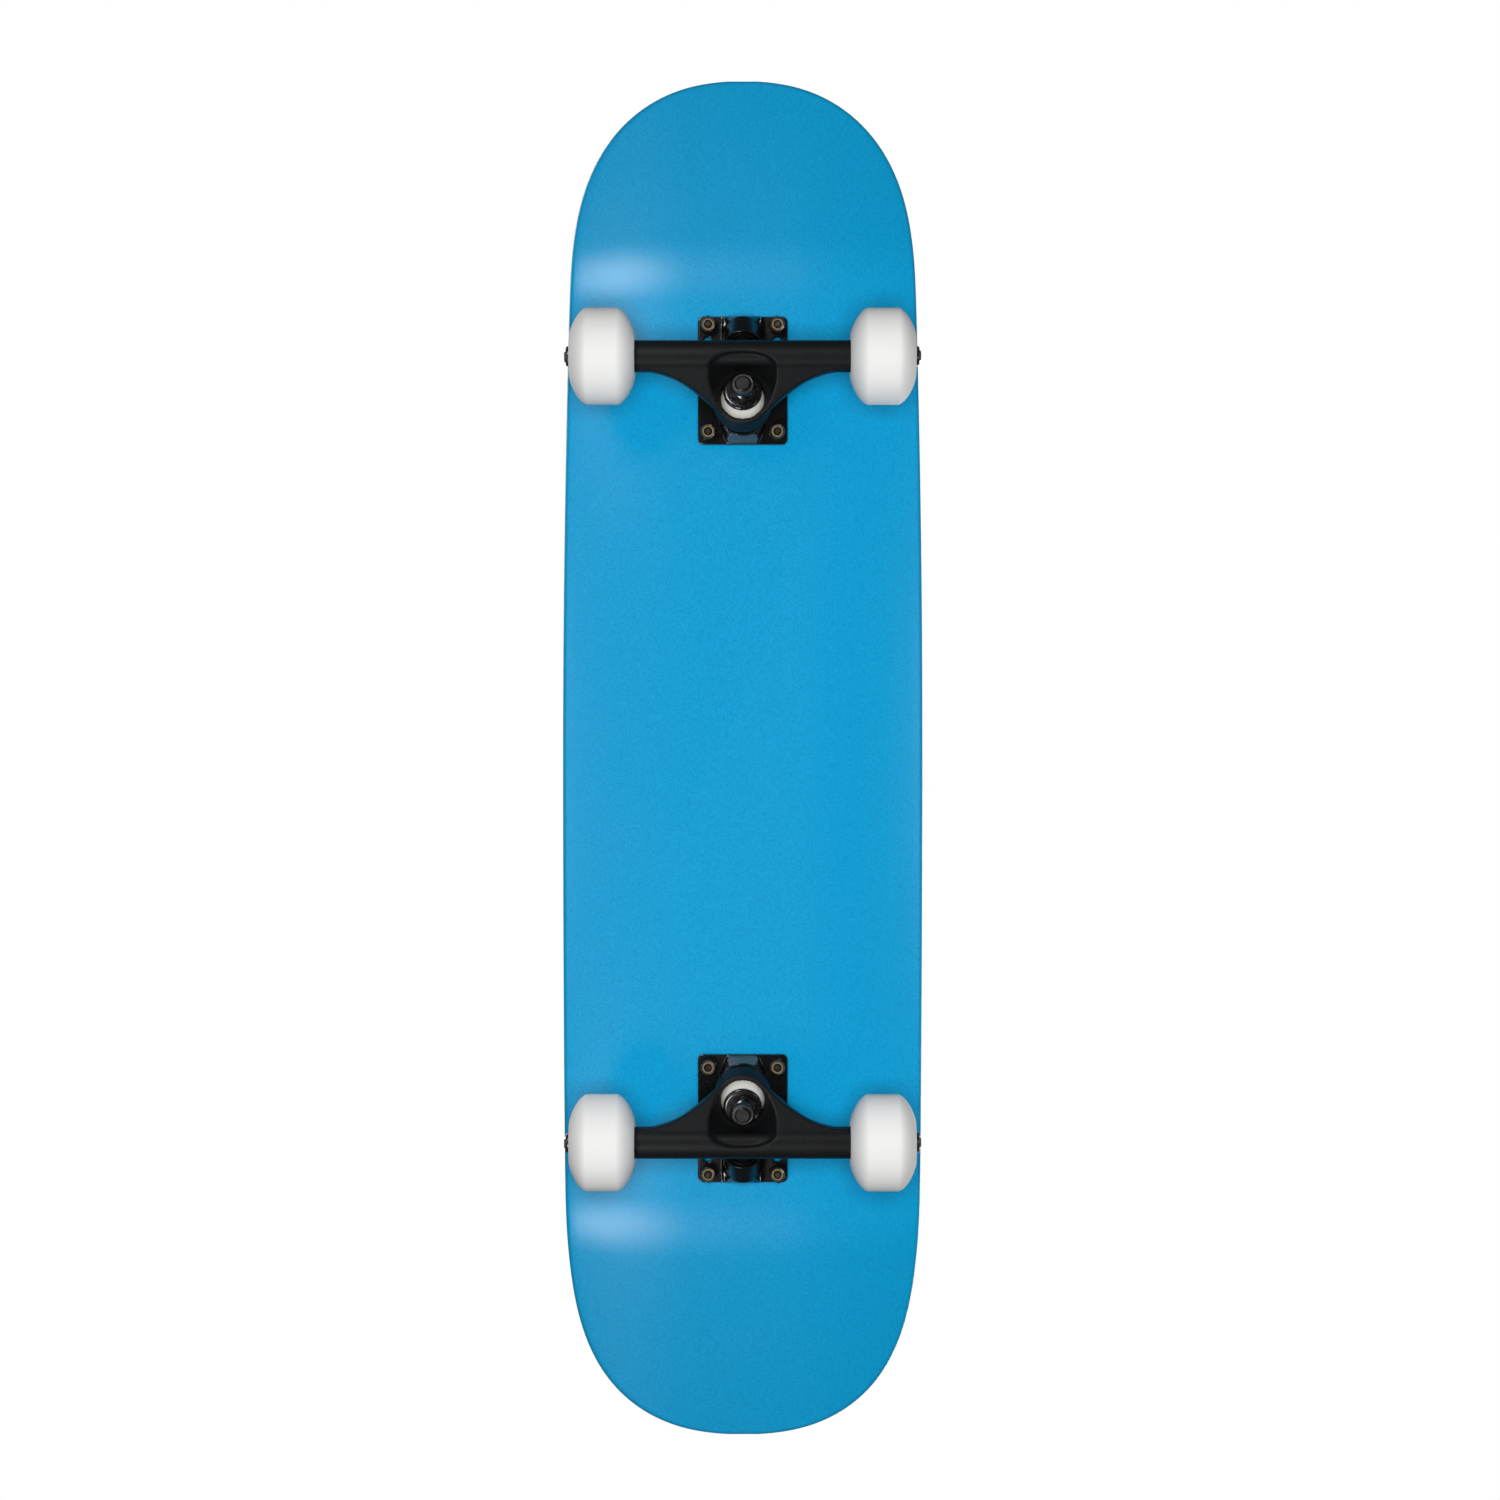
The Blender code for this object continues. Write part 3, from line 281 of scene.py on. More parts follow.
def use_effect(tree, group, inputs):
    made = tree.nodes.new("ShaderNodeGroup")
    made.node_tree = group
    for key, value in inputs.items():
        if isinstance(value, bpy.types.NodeSocket):
            tree.links.new(value, made.inputs[key])
        else:
            made.inputs[key].default_value = value
    return made.outputs


def fine_grain_effect():
    """Small even grain, and rarer flecks, as in sprayed paint, urethane or a sand casting."""
    group, given, result = effect(
        "Fine Grain",
        [("Vector", "Vector", (0, 0, 0)), ("Size", "Float", 0.001)],
        [("Grain", "Float"), ("Flecks", "Float")],
    )
    scale = calc(group, "DIVIDE", 1.0, given["Size"])
    grain = noise(group, given["Vector"], scale, 3.0, 0.6)
    sparse = noise(group, given["Vector"], calc(group, "MULTIPLY", scale, 0.6), 1.0)
    group.links.new(remap(group, grain, 0.3, 0.7), result["Grain"])
    group.links.new(remap(group, sparse, 0.66, 0.74), result["Flecks"])
    return group


def handling_effect():
    """Soft smears and wiped patches left by hands and cloths."""
    group, given, result = effect(
        "Handling",
        [("Vector", "Vector", (0, 0, 0)), ("Size", "Float", 0.03)],
        [("Smears", "Float"), ("Scratches", "Float")],
    )
    scale = calc(group, "DIVIDE", 1.0, given["Size"])
    smears = noise(group, given["Vector"], scale, 4.0, 0.55)
    long_way = stretched(group, given["Vector"], (0.12, 1.0, 1.0))
    fine = noise(group, long_way, calc(group, "MULTIPLY", scale, 26.0), 2.0)
    broken = noise(group, given["Vector"], calc(group, "MULTIPLY", scale, 1.7), 1.0)
    lines = calc(group, "MULTIPLY", remap(group, fine, 0.70, 0.76), remap(group, broken, 0.5, 0.7))
    group.links.new(remap(group, smears, 0.35, 0.7), result["Smears"])
    group.links.new(lines, result["Scratches"])
    return group


def edge_wear_effect():
    """Edges rubbed paler, broken up by noise."""
    group, given, result = effect(
        "Edge Wear",
        [("Vector", "Vector", (0, 0, 0)), ("Size", "Float", 0.004), ("Start", "Float", 0.53)],
        [("Wear", "Float")],
    )
    edge = node(group, "NewGeometry").outputs["Pointiness"]
    top = calc(group, "ADD", given["Start"], 0.05)
    rubbed = remap(group, edge, given["Start"], top)
    broken = noise(group, given["Vector"], calc(group, "DIVIDE", 1.0, given["Size"]), 3.0)
    patchy = remap(group, broken, 0.35, 0.6, 0.35, 1.0)
    group.links.new(calc(group, "MULTIPLY", rubbed, patchy), result["Wear"])
    return group


def turning_effect():
    """Fine rings left by a lathe, round the piece's own Z axis."""
    group, given, result = effect(
        "Turning Lines",
        [("Vector", "Vector", (0, 0, 0)), ("Pitch", "Float", 0.0003)],
        [("Height", "Float")],
    )
    flat = node(group, "VectorMath", {0: given["Vector"], 1: (1, 1, 0)}, operation="MULTIPLY")
    radius = node(group, "VectorMath", {0: flat.outputs[0]}, operation="LENGTH").outputs["Value"]
    turns = calc(group, "DIVIDE", radius, given["Pitch"])
    wander = noise(group, given["Vector"], 900.0, 2.0)
    wave = calc(group, "SINE", calc(group, "MULTIPLY", calc(group, "ADD", turns, wander), math.tau))
    group.links.new(calc(group, "MULTIPLY_ADD", wave, 0.5, 0.5), result["Height"])
    return group


def make_effects():
    return {
        "grain": fine_grain_effect(),
        "handling": handling_effect(),
        "wear": edge_wear_effect(),
        "turning": turning_effect(),
    }


def start_material(name):
    material = bpy.data.materials.new(name)
    material.use_nodes = True
    tree = material.node_tree
    return material, tree, tree.nodes["Principled BSDF"]


def bump(tree, shader, height, distance, strength=1.0):
    made = node(tree, "Bump", {"Height": height, "Distance": distance, "Strength": strength})
    tree.links.new(made.outputs["Normal"], shader.inputs["Normal"])


def feed(tree, shader, **sockets):
    for key, socket in sockets.items():
        tree.links.new(socket, shader.inputs[key.replace("_", " ")])


def paint_and_ply(effects, deck):
    """Satin blue under the deck, and bare edge-cut plies where the rim is not painted."""
    material, tree, shader = start_material("blue_paint_on_maple")
    place = object_place(tree)
    grain = use_effect(tree, effects["grain"], {"Vector": place, "Size": 0.0011})
    broad = use_effect(tree, effects["handling"], {"Vector": place, "Size": 0.12})
    flake = use_effect(tree, effects["grain"], {"Vector": place, "Size": 0.0028})

    darker = tuple(c * 0.84 for c in deck.paint)
    lighter = tuple(min(1, c * 1.12 + 0.001) for c in deck.paint)
    base = blend_color(tree, grain["Grain"], rgba(darker), rgba(lighter))
    base = blend_color(tree, calc(tree, "MULTIPLY", flake["Flecks"], 0.10), base, (0.01, 0.47, 0.8, 1))
    base = blend_color(tree, calc(tree, "MULTIPLY", broad["Smears"], 0.10), base, (0.0, 0.26, 0.6, 1))

    # Plies: even layers by height over the underside, alternately cut along and across the grain
    height = node(tree, "Attribute", attribute_name="ply_height").outputs["Fac"]
    layer = calc(tree, "MULTIPLY", height, deck.plies / deck.thickness)
    odd = calc(tree, "MODULO", calc(tree, "FLOOR", layer), 2.0)
    along = stretched(tree, place, (6.0, 60.0, 900.0))
    streaks = noise(tree, along, 8.0, 4.0, 0.65)
    pores = noise(tree, stretched(tree, place, (700.0, 700.0, 120.0)), 1.0, 2.0)
    pale = blend_color(tree, streaks, rgba(deck.pale_ply), rgba(tuple(c * 0.7 for c in deck.pale_ply)))
    brown = blend_color(tree, pores, rgba(deck.brown_ply), rgba(tuple(c * 0.6 for c in deck.brown_ply)))
    wood = blend_color(tree, odd, pale, brown)
    near_glue = calc(tree, "PINGPONG", layer, 0.5)
    glue = remap(tree, near_glue, 0.0, 0.07, 0.75, 0.0)
    wood = blend_color(tree, glue, wood, (0.07, 0.035, 0.018, 1))

    # The paint wraps the rounded rim and ends in a slightly uneven line
    ragged = noise(tree, place, 160.0, 3.0)
    edge = calc(tree, "MULTIPLY_ADD", ragged, 0.9 * MM, 2.7 * MM)
    bare = remap(tree, calc(tree, "SUBTRACT", height, edge), -0.1 * MM, 0.15 * MM)
    feed(tree, shader, Base_Color=blend_color(tree, bare, base, wood))

    satin = remap(tree, broad["Smears"], 0.0, 1.0, 0.27, 0.33)
    satin = calc(tree, "MULTIPLY_ADD", grain["Grain"], 0.06, satin)
    rough = calc(tree, "MULTIPLY_ADD", bare, 0.25, satin)
    feed(tree, shader, Roughness=rough)
    peel = calc(tree, "MULTIPLY_ADD", grain["Grain"], 0.6, calc(tree, "MULTIPLY", streaks, 0.6))
    relief = calc(tree, "MULTIPLY_ADD", broad["Scratches"], -0.6, peel)
    bump(tree, shader, relief, 0.00005, 0.5)
    shader.inputs["Specular IOR Level"].default_value = 0.22
    return material


def grit(effects, deck):
    """Silicon carbide grains in black resin, with paler worn tips."""
    material, tree, shader = start_material("grip_grit")
    place = object_place(tree)
    cells = node(tree, "TexVoronoi", {"Vector": place, "Scale": 1500.0}, feature="F1")
    fine = use_effect(tree, effects["grain"], {"Vector": place, "Size": 0.00045})
    worn = use_effect(tree, effects["handling"], {"Vector": place, "Size": 0.09})
    tint = node(tree, "SeparateColor", {"Color": cells.outputs["Color"]}).outputs[0]
    bright = remap(tree, tint, 0.80, 1.0)
    base = blend_color(tree, bright, rgba(deck.grip), (0.07, 0.07, 0.075, 1))
    dust = calc(tree, "MULTIPLY", worn["Smears"], 0.35)
    base = blend_color(tree, dust, base, (0.045, 0.043, 0.04, 1))
    feed(tree, shader, Base_Color=base, Roughness=remap(tree, tint, 0.0, 1.0, 0.95, 0.45))
    height = calc(tree, "SUBTRACT", 1.0, cells.outputs["Distance"])
    bump(tree, shader, calc(tree, "MULTIPLY_ADD", fine["Grain"], 0.4, height), 0.00035, 0.8)
    return material


def black_coat(effects, name, color, roughness, grain_size, depth, wear_color, wear, coat, shine=0.3):
    """A black coat on a casting or on steel, rubbed paler along its edges; shine is its gloss."""
    material, tree, shader = start_material(name)
    place = object_place(tree)
    grain = use_effect(tree, effects["grain"], {"Vector": place, "Size": grain_size})
    hands = use_effect(tree, effects["handling"], {"Vector": place, "Size": 0.022})
    rubbed = use_effect(tree, effects["wear"], {"Vector": place, "Size": 0.005, "Start": 0.535})
    lighter = tuple(c * 1.5 + 0.0015 for c in color)
    base = blend_color(tree, grain["Grain"], rgba(color), rgba(lighter))
    base = blend_color(tree, calc(tree, "MULTIPLY", grain["Flecks"], 0.3), base, rgba(wear_color))
    base = blend_color(tree, calc(tree, "MULTIPLY", rubbed["Wear"], wear), base, rgba(wear_color))
    rough = calc(tree, "MULTIPLY_ADD", hands["Smears"], 0.09, roughness)
    rough = calc(tree, "MULTIPLY_ADD", hands["Scratches"], 0.12, rough)
    rough = calc(tree, "MULTIPLY_ADD", grain["Grain"], 0.05, rough)
    feed(tree, shader, Base_Color=base, Roughness=rough)
    relief = calc(tree, "MULTIPLY_ADD", hands["Scratches"], -0.4, grain["Grain"])
    bump(tree, shader, relief, depth, 0.6)
    shader.inputs["Specular IOR Level"].default_value = shine
    shader.inputs["Coat Weight"].default_value = coat
    shader.inputs["Coat Roughness"].default_value = 0.08
    return material


def bare_metal(effects, name, color, roughness, pitch):
    """Turned or plated steel with lathe rings and small stains."""
    material, tree, shader = start_material(name)
    own = own_place(tree)
    rings = use_effect(tree, effects["turning"], {"Vector": own, "Pitch": pitch})
    grain = use_effect(tree, effects["grain"], {"Vector": own, "Size": 0.0012})
    hands = use_effect(tree, effects["handling"], {"Vector": own, "Size": 0.009})
    darker = tuple(c * 0.72 for c in color)
    base = blend_color(tree, hands["Smears"], rgba(color), rgba(darker))
    base = blend_color(tree, calc(tree, "MULTIPLY", grain["Flecks"], 0.4), base, (0.12, 0.11, 0.1, 1))
    rough = calc(tree, "MULTIPLY_ADD", rings["Height"], 0.08, roughness)
    rough = calc(tree, "MULTIPLY_ADD", hands["Smears"], 0.12, rough)
    feed(tree, shader, Base_Color=base, Roughness=rough)
    relief = calc(tree, "MULTIPLY_ADD", grain["Grain"], 0.3, rings["Height"])
    bump(tree, shader, relief, 0.000012, 0.7)
    shader.inputs["Metallic"].default_value = 1.0
    return material


def moulded(effects, name, color, roughness, grain_size, stain):
    """Poured or moulded plastic: an even skin with faint clouding."""
    material, tree, shader = start_material(name)
    own = own_place(tree)
    grain = use_effect(tree, effects["grain"], {"Vector": own, "Size": grain_size})
    cloud = use_effect(tree, effects["handling"], {"Vector": own, "Size": 0.014})
    darker = tuple(c * 0.93 for c in color)
    base = blend_color(tree, grain["Grain"], rgba(color), rgba(darker))
    base = blend_color(tree, calc(tree, "MULTIPLY", cloud["Smears"], 0.18), base, rgba(stain))
    rough = calc(tree, "MULTIPLY_ADD", cloud["Smears"], 0.10, roughness)
    feed(tree, shader, Base_Color=base, Roughness=rough)
    bump(tree, shader, grain["Grain"], 0.00002, 0.5)
    return material, tree, shader, base, own


def printed_urethane(effects, wheel):
    """White urethane, its outer face printed with plain bars in a ring."""
    material, tree, shader, base, own = moulded(
        effects, "white_urethane", wheel.urethane, 0.34, 0.0016, (0.70, 0.70, 0.67)
    )
    parts = node(tree, "SeparateXYZ", {"Vector": own}).outputs
    radius = calc(
        tree,
        "SQRT",
        calc(tree, "MULTIPLY_ADD", parts[0], parts[0], calc(tree, "MULTIPLY", parts[1], parts[1])),
    )
    turn = calc(tree, "DIVIDE", calc(tree, "ARCTAN2", parts[1], parts[0]), math.tau)
    outer = calc(tree, "GREATER_THAN", parts[2], wheel.tread / 2)

    def bars(count, start, stop, low, high):
        """A ring of bars, each from start to stop of its share of the turn."""
        step = calc(tree, "FRACT", calc(tree, "MULTIPLY_ADD", turn, float(count), 10.0))
        inside = calc(
            tree,
            "MULTIPLY",
            calc(tree, "GREATER_THAN", step, start),
            calc(tree, "LESS_THAN", step, stop),
        )
        band = calc(
            tree,
            "MULTIPLY",
            calc(tree, "GREATER_THAN", radius, low),
            calc(tree, "LESS_THAN", radius, high),
        )
        return calc(tree, "MULTIPLY", calc(tree, "MULTIPLY", inside, band), outer)

    worn = remap(tree, noise(tree, own, 1400.0, 2.0), 0.36, 0.42)
    dark = calc(tree, "MULTIPLY", bars(3, 0.02, 0.78, 16.2 * MM, 21.6 * MM), worn)
    thin = calc(tree, "MULTIPLY", bars(12, 0.1, 0.9, 14.5 * MM, 14.9 * MM), worn)
    red = calc(tree, "MULTIPLY", bars(3, 0.84, 0.95, 16.2 * MM, 21.6 * MM), worn)
    base = blend_color(tree, dark, base, rgba(wheel.print_black))
    base = blend_color(tree, thin, base, rgba(wheel.print_black))
    feed(tree, shader, Base_Color=blend_color(tree, red, base, rgba(wheel.print_red)))
    shader.inputs["Subsurface Weight"].default_value = 0.12
    shader.inputs["Subsurface Radius"].default_value = (0.004, 0.004, 0.004)
    return material


def make_materials(scene):
    effects = make_effects()
    deck, truck, wheel = scene.skate_deck, scene.skate_truck, scene.skate_wheel
    made = {
        "paint": paint_and_ply(effects, deck),
        "grit": grit(effects, deck),
        "satin": black_coat(
            effects,
            "satin_powder_coat",
            truck.hanger,
            0.42,
            0.0011,
            0.00004,
            wear_color=(0.018, 0.018, 0.019),
            wear=0.5,
            coat=0.0,
            shine=0.12,
        ),
        "gloss": black_coat(
            effects,
            "gloss_enamel",
            truck.baseplate,
            0.24,
            0.0016,
            0.00003,
            wear_color=(0.010, 0.010, 0.011),
            wear=0.5,
            coat=0.25,
        ),
        "black_steel": black_coat(
            effects,
            "black_oxide_steel",
            truck.steel_black,
            0.22,
            0.0012,
            0.00002,
            wear_color=(0.10, 0.10, 0.10),
            wear=0.8,
            coat=0.35,
        ),
        # Pale grey metal for the patch on each boss nose: a painted reflection of the light on that
        # facet, not a ground face
        "glint_material": bare_metal(effects, "painted_glint_metal", (0.26, 0.255, 0.245), 0.45, 0.0006),
        "zinc": bare_metal(effects, "bright_zinc", (0.62, 0.62, 0.63), 0.24, 0.00035),
        "ring": bare_metal(effects, "bearing_steel", (0.66, 0.66, 0.68), 0.16, 0.00022),
        "shield": bare_metal(effects, "pressed_shield", (0.42, 0.42, 0.43), 0.34, 0.0005),
        "kingpin_end": bare_metal(effects, "kingpin_end_steel", (0.03, 0.03, 0.032), 0.36, 0.0004),
        "black_nylon": moulded(
            effects, "black_nylon", (0.006, 0.006, 0.007), 0.3, 0.0005, (0.015, 0.015, 0.015)
        )[0],
        "nylon": moulded(effects, "amber_nylon", truck.collar, 0.42, 0.0005, (0.16, 0.10, 0.03))[0],
        "ivory": moulded(effects, "ivory_urethane", truck.bushing, 0.38, 0.0012, (0.66, 0.64, 0.56))[0],
        "urethane": printed_urethane(effects, wheel),
    }
    return made


# ---------------------------------------------------------------------------- shapes and pieces


def filleted(profile, radius, segments=3):
    """Round every inner corner of an open profile of (radius, height) points."""
    points = [Vector(p) for p in profile]
    made = [points[0]]
    for before, corner, after in zip(points, points[1:], points[2:]):
        reach = min(radius, (before - corner).length / 2.05, (after - corner).length / 2.05)
        start = corner + (before - corner).normalized() * reach
        end = corner + (after - corner).normalized() * reach
        for i in range(segments + 1):
            t = i / segments
            made.append(start * (1 - t) ** 2 + corner * 2 * t * (1 - t) + end * t**2)
    return made + [points[-1]]


def turned(profile, steps):
    """Spin a profile of (radius, height) points round Z into a closed body."""
    shape = bmesh.new()
    points = [shape.verts.new((p[0], 0, p[1])) for p in profile]
    pairs = list(zip(points, points[1:]))
    if profile[0][0] > 0:
        pairs.append((points[-1], points[0]))
    edges = [shape.edges.new(pair) for pair in pairs]
    bmesh.ops.spin(
        shape, geom=points + edges, axis=(0, 0, 1), angle=math.tau, steps=steps, use_merge=True
    )
    bmesh.ops.remove_doubles(shape, verts=shape.verts, dist=1e-6)
    bmesh.ops.recalc_face_normals(shape, faces=shape.faces)
    return shape


def rod(radius, low, high, steps=SMALL_STEPS):
    return turned([(0, low), (radius, low), (radius, high), (0, high)], steps)


def hexagon(flats, low, high):
    return turned([(0, low), (flats / math.sqrt(3), low), (flats / math.sqrt(3), high), (0, high)], 6)


def hull(points):
    """The convex body round a cloud of points."""
    shape = bmesh.new()
    for point in points:
        shape.verts.new(point)
    made = bmesh.ops.convex_hull(shape, input=shape.verts)
    spare = {part for key in ("geom_interior", "geom_unused") for part in made[key]}
    bmesh.ops.delete(
        shape, geom=[part for part in spare if isinstance(part, bmesh.types.BMVert)], context="VERTS"
    )
    bmesh.ops.recalc_face_normals(shape, faces=shape.faces)
    return shape


def prism(outline, axis, low, high):
    """Extrude an outline along X or Z; the outline's points are (y, z) or (x, y)."""
    shape = bmesh.new()
    place = (lambda a, b: (a, b, low)) if axis == "Z" else (lambda a, b: (low, a, b))
    face = shape.faces.new([shape.verts.new(place(a, b)) for a, b in outline])
    grown = bmesh.ops.extrude_face_region(shape, geom=[face])["geom"]
    reach = Vector((0, 0, high - low)) if axis == "Z" else Vector((high - low, 0, 0))
    verts = [part for part in grown if isinstance(part, bmesh.types.BMVert)]
    bmesh.ops.translate(shape, vec=reach, verts=verts)
    bmesh.ops.recalc_face_normals(shape, faces=shape.faces)
    return shape


def circle(place, radius, height, steps=SMALL_STEPS):
    turn = math.tau / steps
    return [
        place @ Vector((radius * math.cos(i * turn), radius * math.sin(i * turn), height))
        for i in range(steps)
    ]


def to_mesh(shape, name):
    mesh = bpy.data.meshes.new(name)
    shape.to_mesh(mesh)
    shape.free()
    return mesh


def add_object(name, mesh):
    thing = bpy.data.objects.new(name, mesh)
    bpy.context.scene.collection.objects.link(thing)
    return thing


def combine(name, base, steps, voxel=0.0, smoothing=0):
    """Join and cut bodies one after another; with a voxel size, the result is skinned afresh and
    smoothed, which rounds its corners as a casting's are."""
    body = add_object(name, to_mesh(base, name))
    tools = []
    for operation, shape, place in steps:
        mesh = to_mesh(shape, f"{name}_tool")
        mesh.transform(place)
        tool = add_object(f"{name}_tool", mesh)
        tools.append(tool)
        cut = body.modifiers.new(operation.title(), "BOOLEAN")
        cut.operation = operation
        cut.solver = "EXACT"
        cut.object = tool
    if voxel:
        skin = body.modifiers.new("Skin", "REMESH")
        skin.mode = "VOXEL"
        skin.voxel_size = voxel
        soften = body.modifiers.new("Soften", "SMOOTH")
        soften.factor = 0.5
        soften.iterations = smoothing
    seen = body.evaluated_get(bpy.context.evaluated_depsgraph_get())
    result = bpy.data.meshes.new_from_object(seen)
    for thing in [body, *tools]:
        bpy.data.objects.remove(thing, do_unlink=True)
    return result


def put(name, mesh, place, body, material, stands_for=(), sharp=SMOOTH_ANGLE):
    """Make a finished piece of a mesh: remember its own coordinates, then move it to its place."""
    mesh = mesh.copy()
    own = mesh.attributes.new("own_place", "FLOAT_VECTOR", "POINT")
    places = [0.0] * (3 * len(mesh.vertices))
    mesh.vertices.foreach_get("co", places)
    own.data.foreach_set("vector", places)
    mesh.transform(place)
    mesh.materials.clear()
    mesh.materials.append(material)
    mesh.shade_smooth()
    if sharp:
        mesh.set_sharp_from_angle(angle=sharp)
    piece = add_object(name, mesh)
    if body:
        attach(piece, body)
    if stands_for:
        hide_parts(*stands_for)
    return piece


def material_named(name):
    return bpy.data.materials[name]


# ---------------------------------------------------------------------------------------- deck


def kick_start(end):
    """Distance from the middle of the deck to where this end starts to bend up."""
    place = TRUCK_PLACES["front" if end["side"] > 0 else "rear"]
    return end["side"] * place + HOLES_LONG / 2 + KICK_MARGIN


def flat_length(deck, end):
    """Length of the deck's surface from its middle to this end's tip."""
    angle, radius = deck.kick_angle, deck.kick_radius
    reach = deck.length / 2 + deck.edge_round * math.sin(angle)
    straight = reach - kick_start(end) - radius * math.sin(angle)
    return kick_start(end) + radius * angle + straight / math.cos(angle)


def dish(deck, across):
    """Rise and slope of the board's cross-section at a distance from its middle line."""
    rise_width = (deck.width - DISH_FLAT_WIDTH) / 2
    way = max(0, abs(across) - DISH_FLAT_WIDTH / 2) / rise_width
    return deck.dish_depth * way**2, math.atan(2 * deck.dish_depth * way / rise_width)


def half_width(deck, end, along):
    """Half the deck's width at a distance along its surface."""
    full = deck.width / 2 + deck.edge_round * math.sin(dish(deck, deck.width / 2)[1])
    full -= end["taper"] * (along / flat_length(deck, end)) ** 2
    way = (along - flat_length(deck, end) + end["round_length"]) / end["round_length"]
    if way <= 0:
        return full
    return full * max(0, 1 - way ** end["round_power"]) ** (1 / OUTLINE_SQUARENESS)


def board_point(deck, end, along, across, height):
    """A point of the pressed board, at a height above its underside measured square to it."""
    rise, tilt = dish(deck, across)
    lift = rise + height * math.cos(tilt)
    past = along - kick_start(end)
    angle = min(max(past / deck.kick_radius, 0), deck.kick_angle)
    straight = max(0, past - deck.kick_radius * deck.kick_angle)
    x = min(along, kick_start(end)) + deck.kick_radius * math.sin(angle) + straight * math.cos(angle)
    z = deck.kick_radius * (1 - math.cos(angle)) + straight * math.sin(angle)
    return Vector(
        (
            end["side"] * (x - lift * math.sin(angle)),
            across - math.copysign(height * math.sin(tilt), across),
            DECK_UNDERSIDE + z + lift * math.cos(angle),
        )
    )


def stations(deck, end):
    """Distances along one half of the deck at which its cross-sections stand."""
    flat_rows, bend_rows, kick_rows, round_rows, last = 26, 20, 16, 48, math.radians(87.5)
    start, far = kick_start(end), flat_length(deck, end)
    bend_end = start + deck.kick_radius * deck.kick_angle
    rows = [start * i / flat_rows for i in range(flat_rows + 1)]
    rows += [start + (bend_end - start) * i / bend_rows for i in range(1, bend_rows + 1)]
    rows += [bend_end + (far - 0.03 - bend_end) * i / kick_rows for i in range(1, kick_rows)]
    for i in range(round_rows + 1):
        way = math.sin(last * i / round_rows) ** (2 / end["round_power"])
        rows.append(far - end["round_length"] * (1 - way))
    rows.sort()
    spaced = [rows[0]]
    for row in rows[1:]:
        closest = 1.2 * MM if far - row > 12 * MM else 0.25 * MM
        if row - spaced[-1] > closest:
            spaced.append(row)
    return spaced


def board_shell(deck, layers, columns):
    """A closed board whose rim runs through layers of (height over the underside, inset)."""
    across = [2 * i / columns - 1 for i in range(columns + 1)]
    nose, tail = stations(deck, NOSE), stations(deck, TAIL)
    along = [(TAIL, row) for row in reversed(tail[1:])] + [(NOSE, row) for row in nose]
    shape = bmesh.new()
    size = Matrix.Diagonal((len(along) - 1, columns, 1, 1))
    bmesh.ops.create_grid(
        shape, x_segments=len(along) - 1, y_segments=columns, size=0.5, matrix=size
    )
    grown = bmesh.ops.extrude_face_region(shape, geom=shape.faces[:])["geom"]
    lifted = [part for part in grown if isinstance(part, bmesh.types.BMVert)]
    bmesh.ops.translate(shape, vec=(0, 0, len(layers) - 1), verts=lifted)
    upright = [e for e in shape.edges if abs(e.verts[0].co.z - e.verts[1].co.z) > 0.5]
    bmesh.ops.subdivide_edges(shape, edges=upright, cuts=len(layers) - 2)
    ply = shape.verts.layers.float.new("ply_height")
    for vert in shape.verts:
        end, row = along[round(vert.co.x + (len(along) - 1) / 2)]
        side = across[round(vert.co.y + columns / 2)]
        height, inset = layers[round(vert.co.z)]
        width = half_width(deck, end, row) * (1 - inset / (deck.width / 2))
        vert[ply] = height
        vert.co = board_point(
            deck, end, row * (1 - inset / flat_length(deck, end)), side * width, height
        )
    bmesh.ops.recalc_face_normals(shape, faces=shape.faces)
    return shape


def round_rim(middle_height, radius, rim_round, start, stop, steps):
    """Layers along an arc; 0 degrees is straight up and 90 degrees is the rim."""
    turns = [math.radians(start + (stop - start) * i / steps) for i in range(steps + 1)]
    return [
        (middle_height + radius * math.cos(a), rim_round - radius * math.sin(a)) for a in turns
    ]


def bolt_heights():
    """Where a bolt's head and end are, over the deck's underside, from the packed bolt."""
    low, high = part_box("rear_bolt_1")
    return low.z - DECK_UNDERSIDE, high.z - DECK_UNDERSIDE


def bolt_places():
    """Places of the eight mounting bolts, as (name, x, y)."""
    return [
        (f"{end}_bolt_{i}", middle(f"{end}_bolt_{i}").x, middle(f"{end}_bolt_{i}").y)
        for end in ENDS
        for i in range(1, 5)
    ]


BOLT_RADIUS = 2.4 * MM
BOLT_HEAD_RADIUS = 4.7 * MM


def bolt_cutter():
    """Countersunk hole for one bolt, a little wider than the bolt."""
    low, high = bolt_heights()
    head, shank = BOLT_HEAD_RADIUS + GAP, BOLT_RADIUS + GAP
    cone = high - 0.4 * MM
    profile = [(0, high + MM), (head, high + MM), (head, cone), (shank, cone - head + shank)]
    return turned(profile + [(shank, low - MM), (0, low - MM)], SMALL_STEPS)


def drilled(name, shape):
    """Cut the eight bolt holes."""
    steps = [
        ("DIFFERENCE", bolt_cutter(), Matrix.Translation((x, y, DECK_UNDERSIDE)))
        for _, x, y in bolt_places()
    ]
    return combine(name, shape, steps)


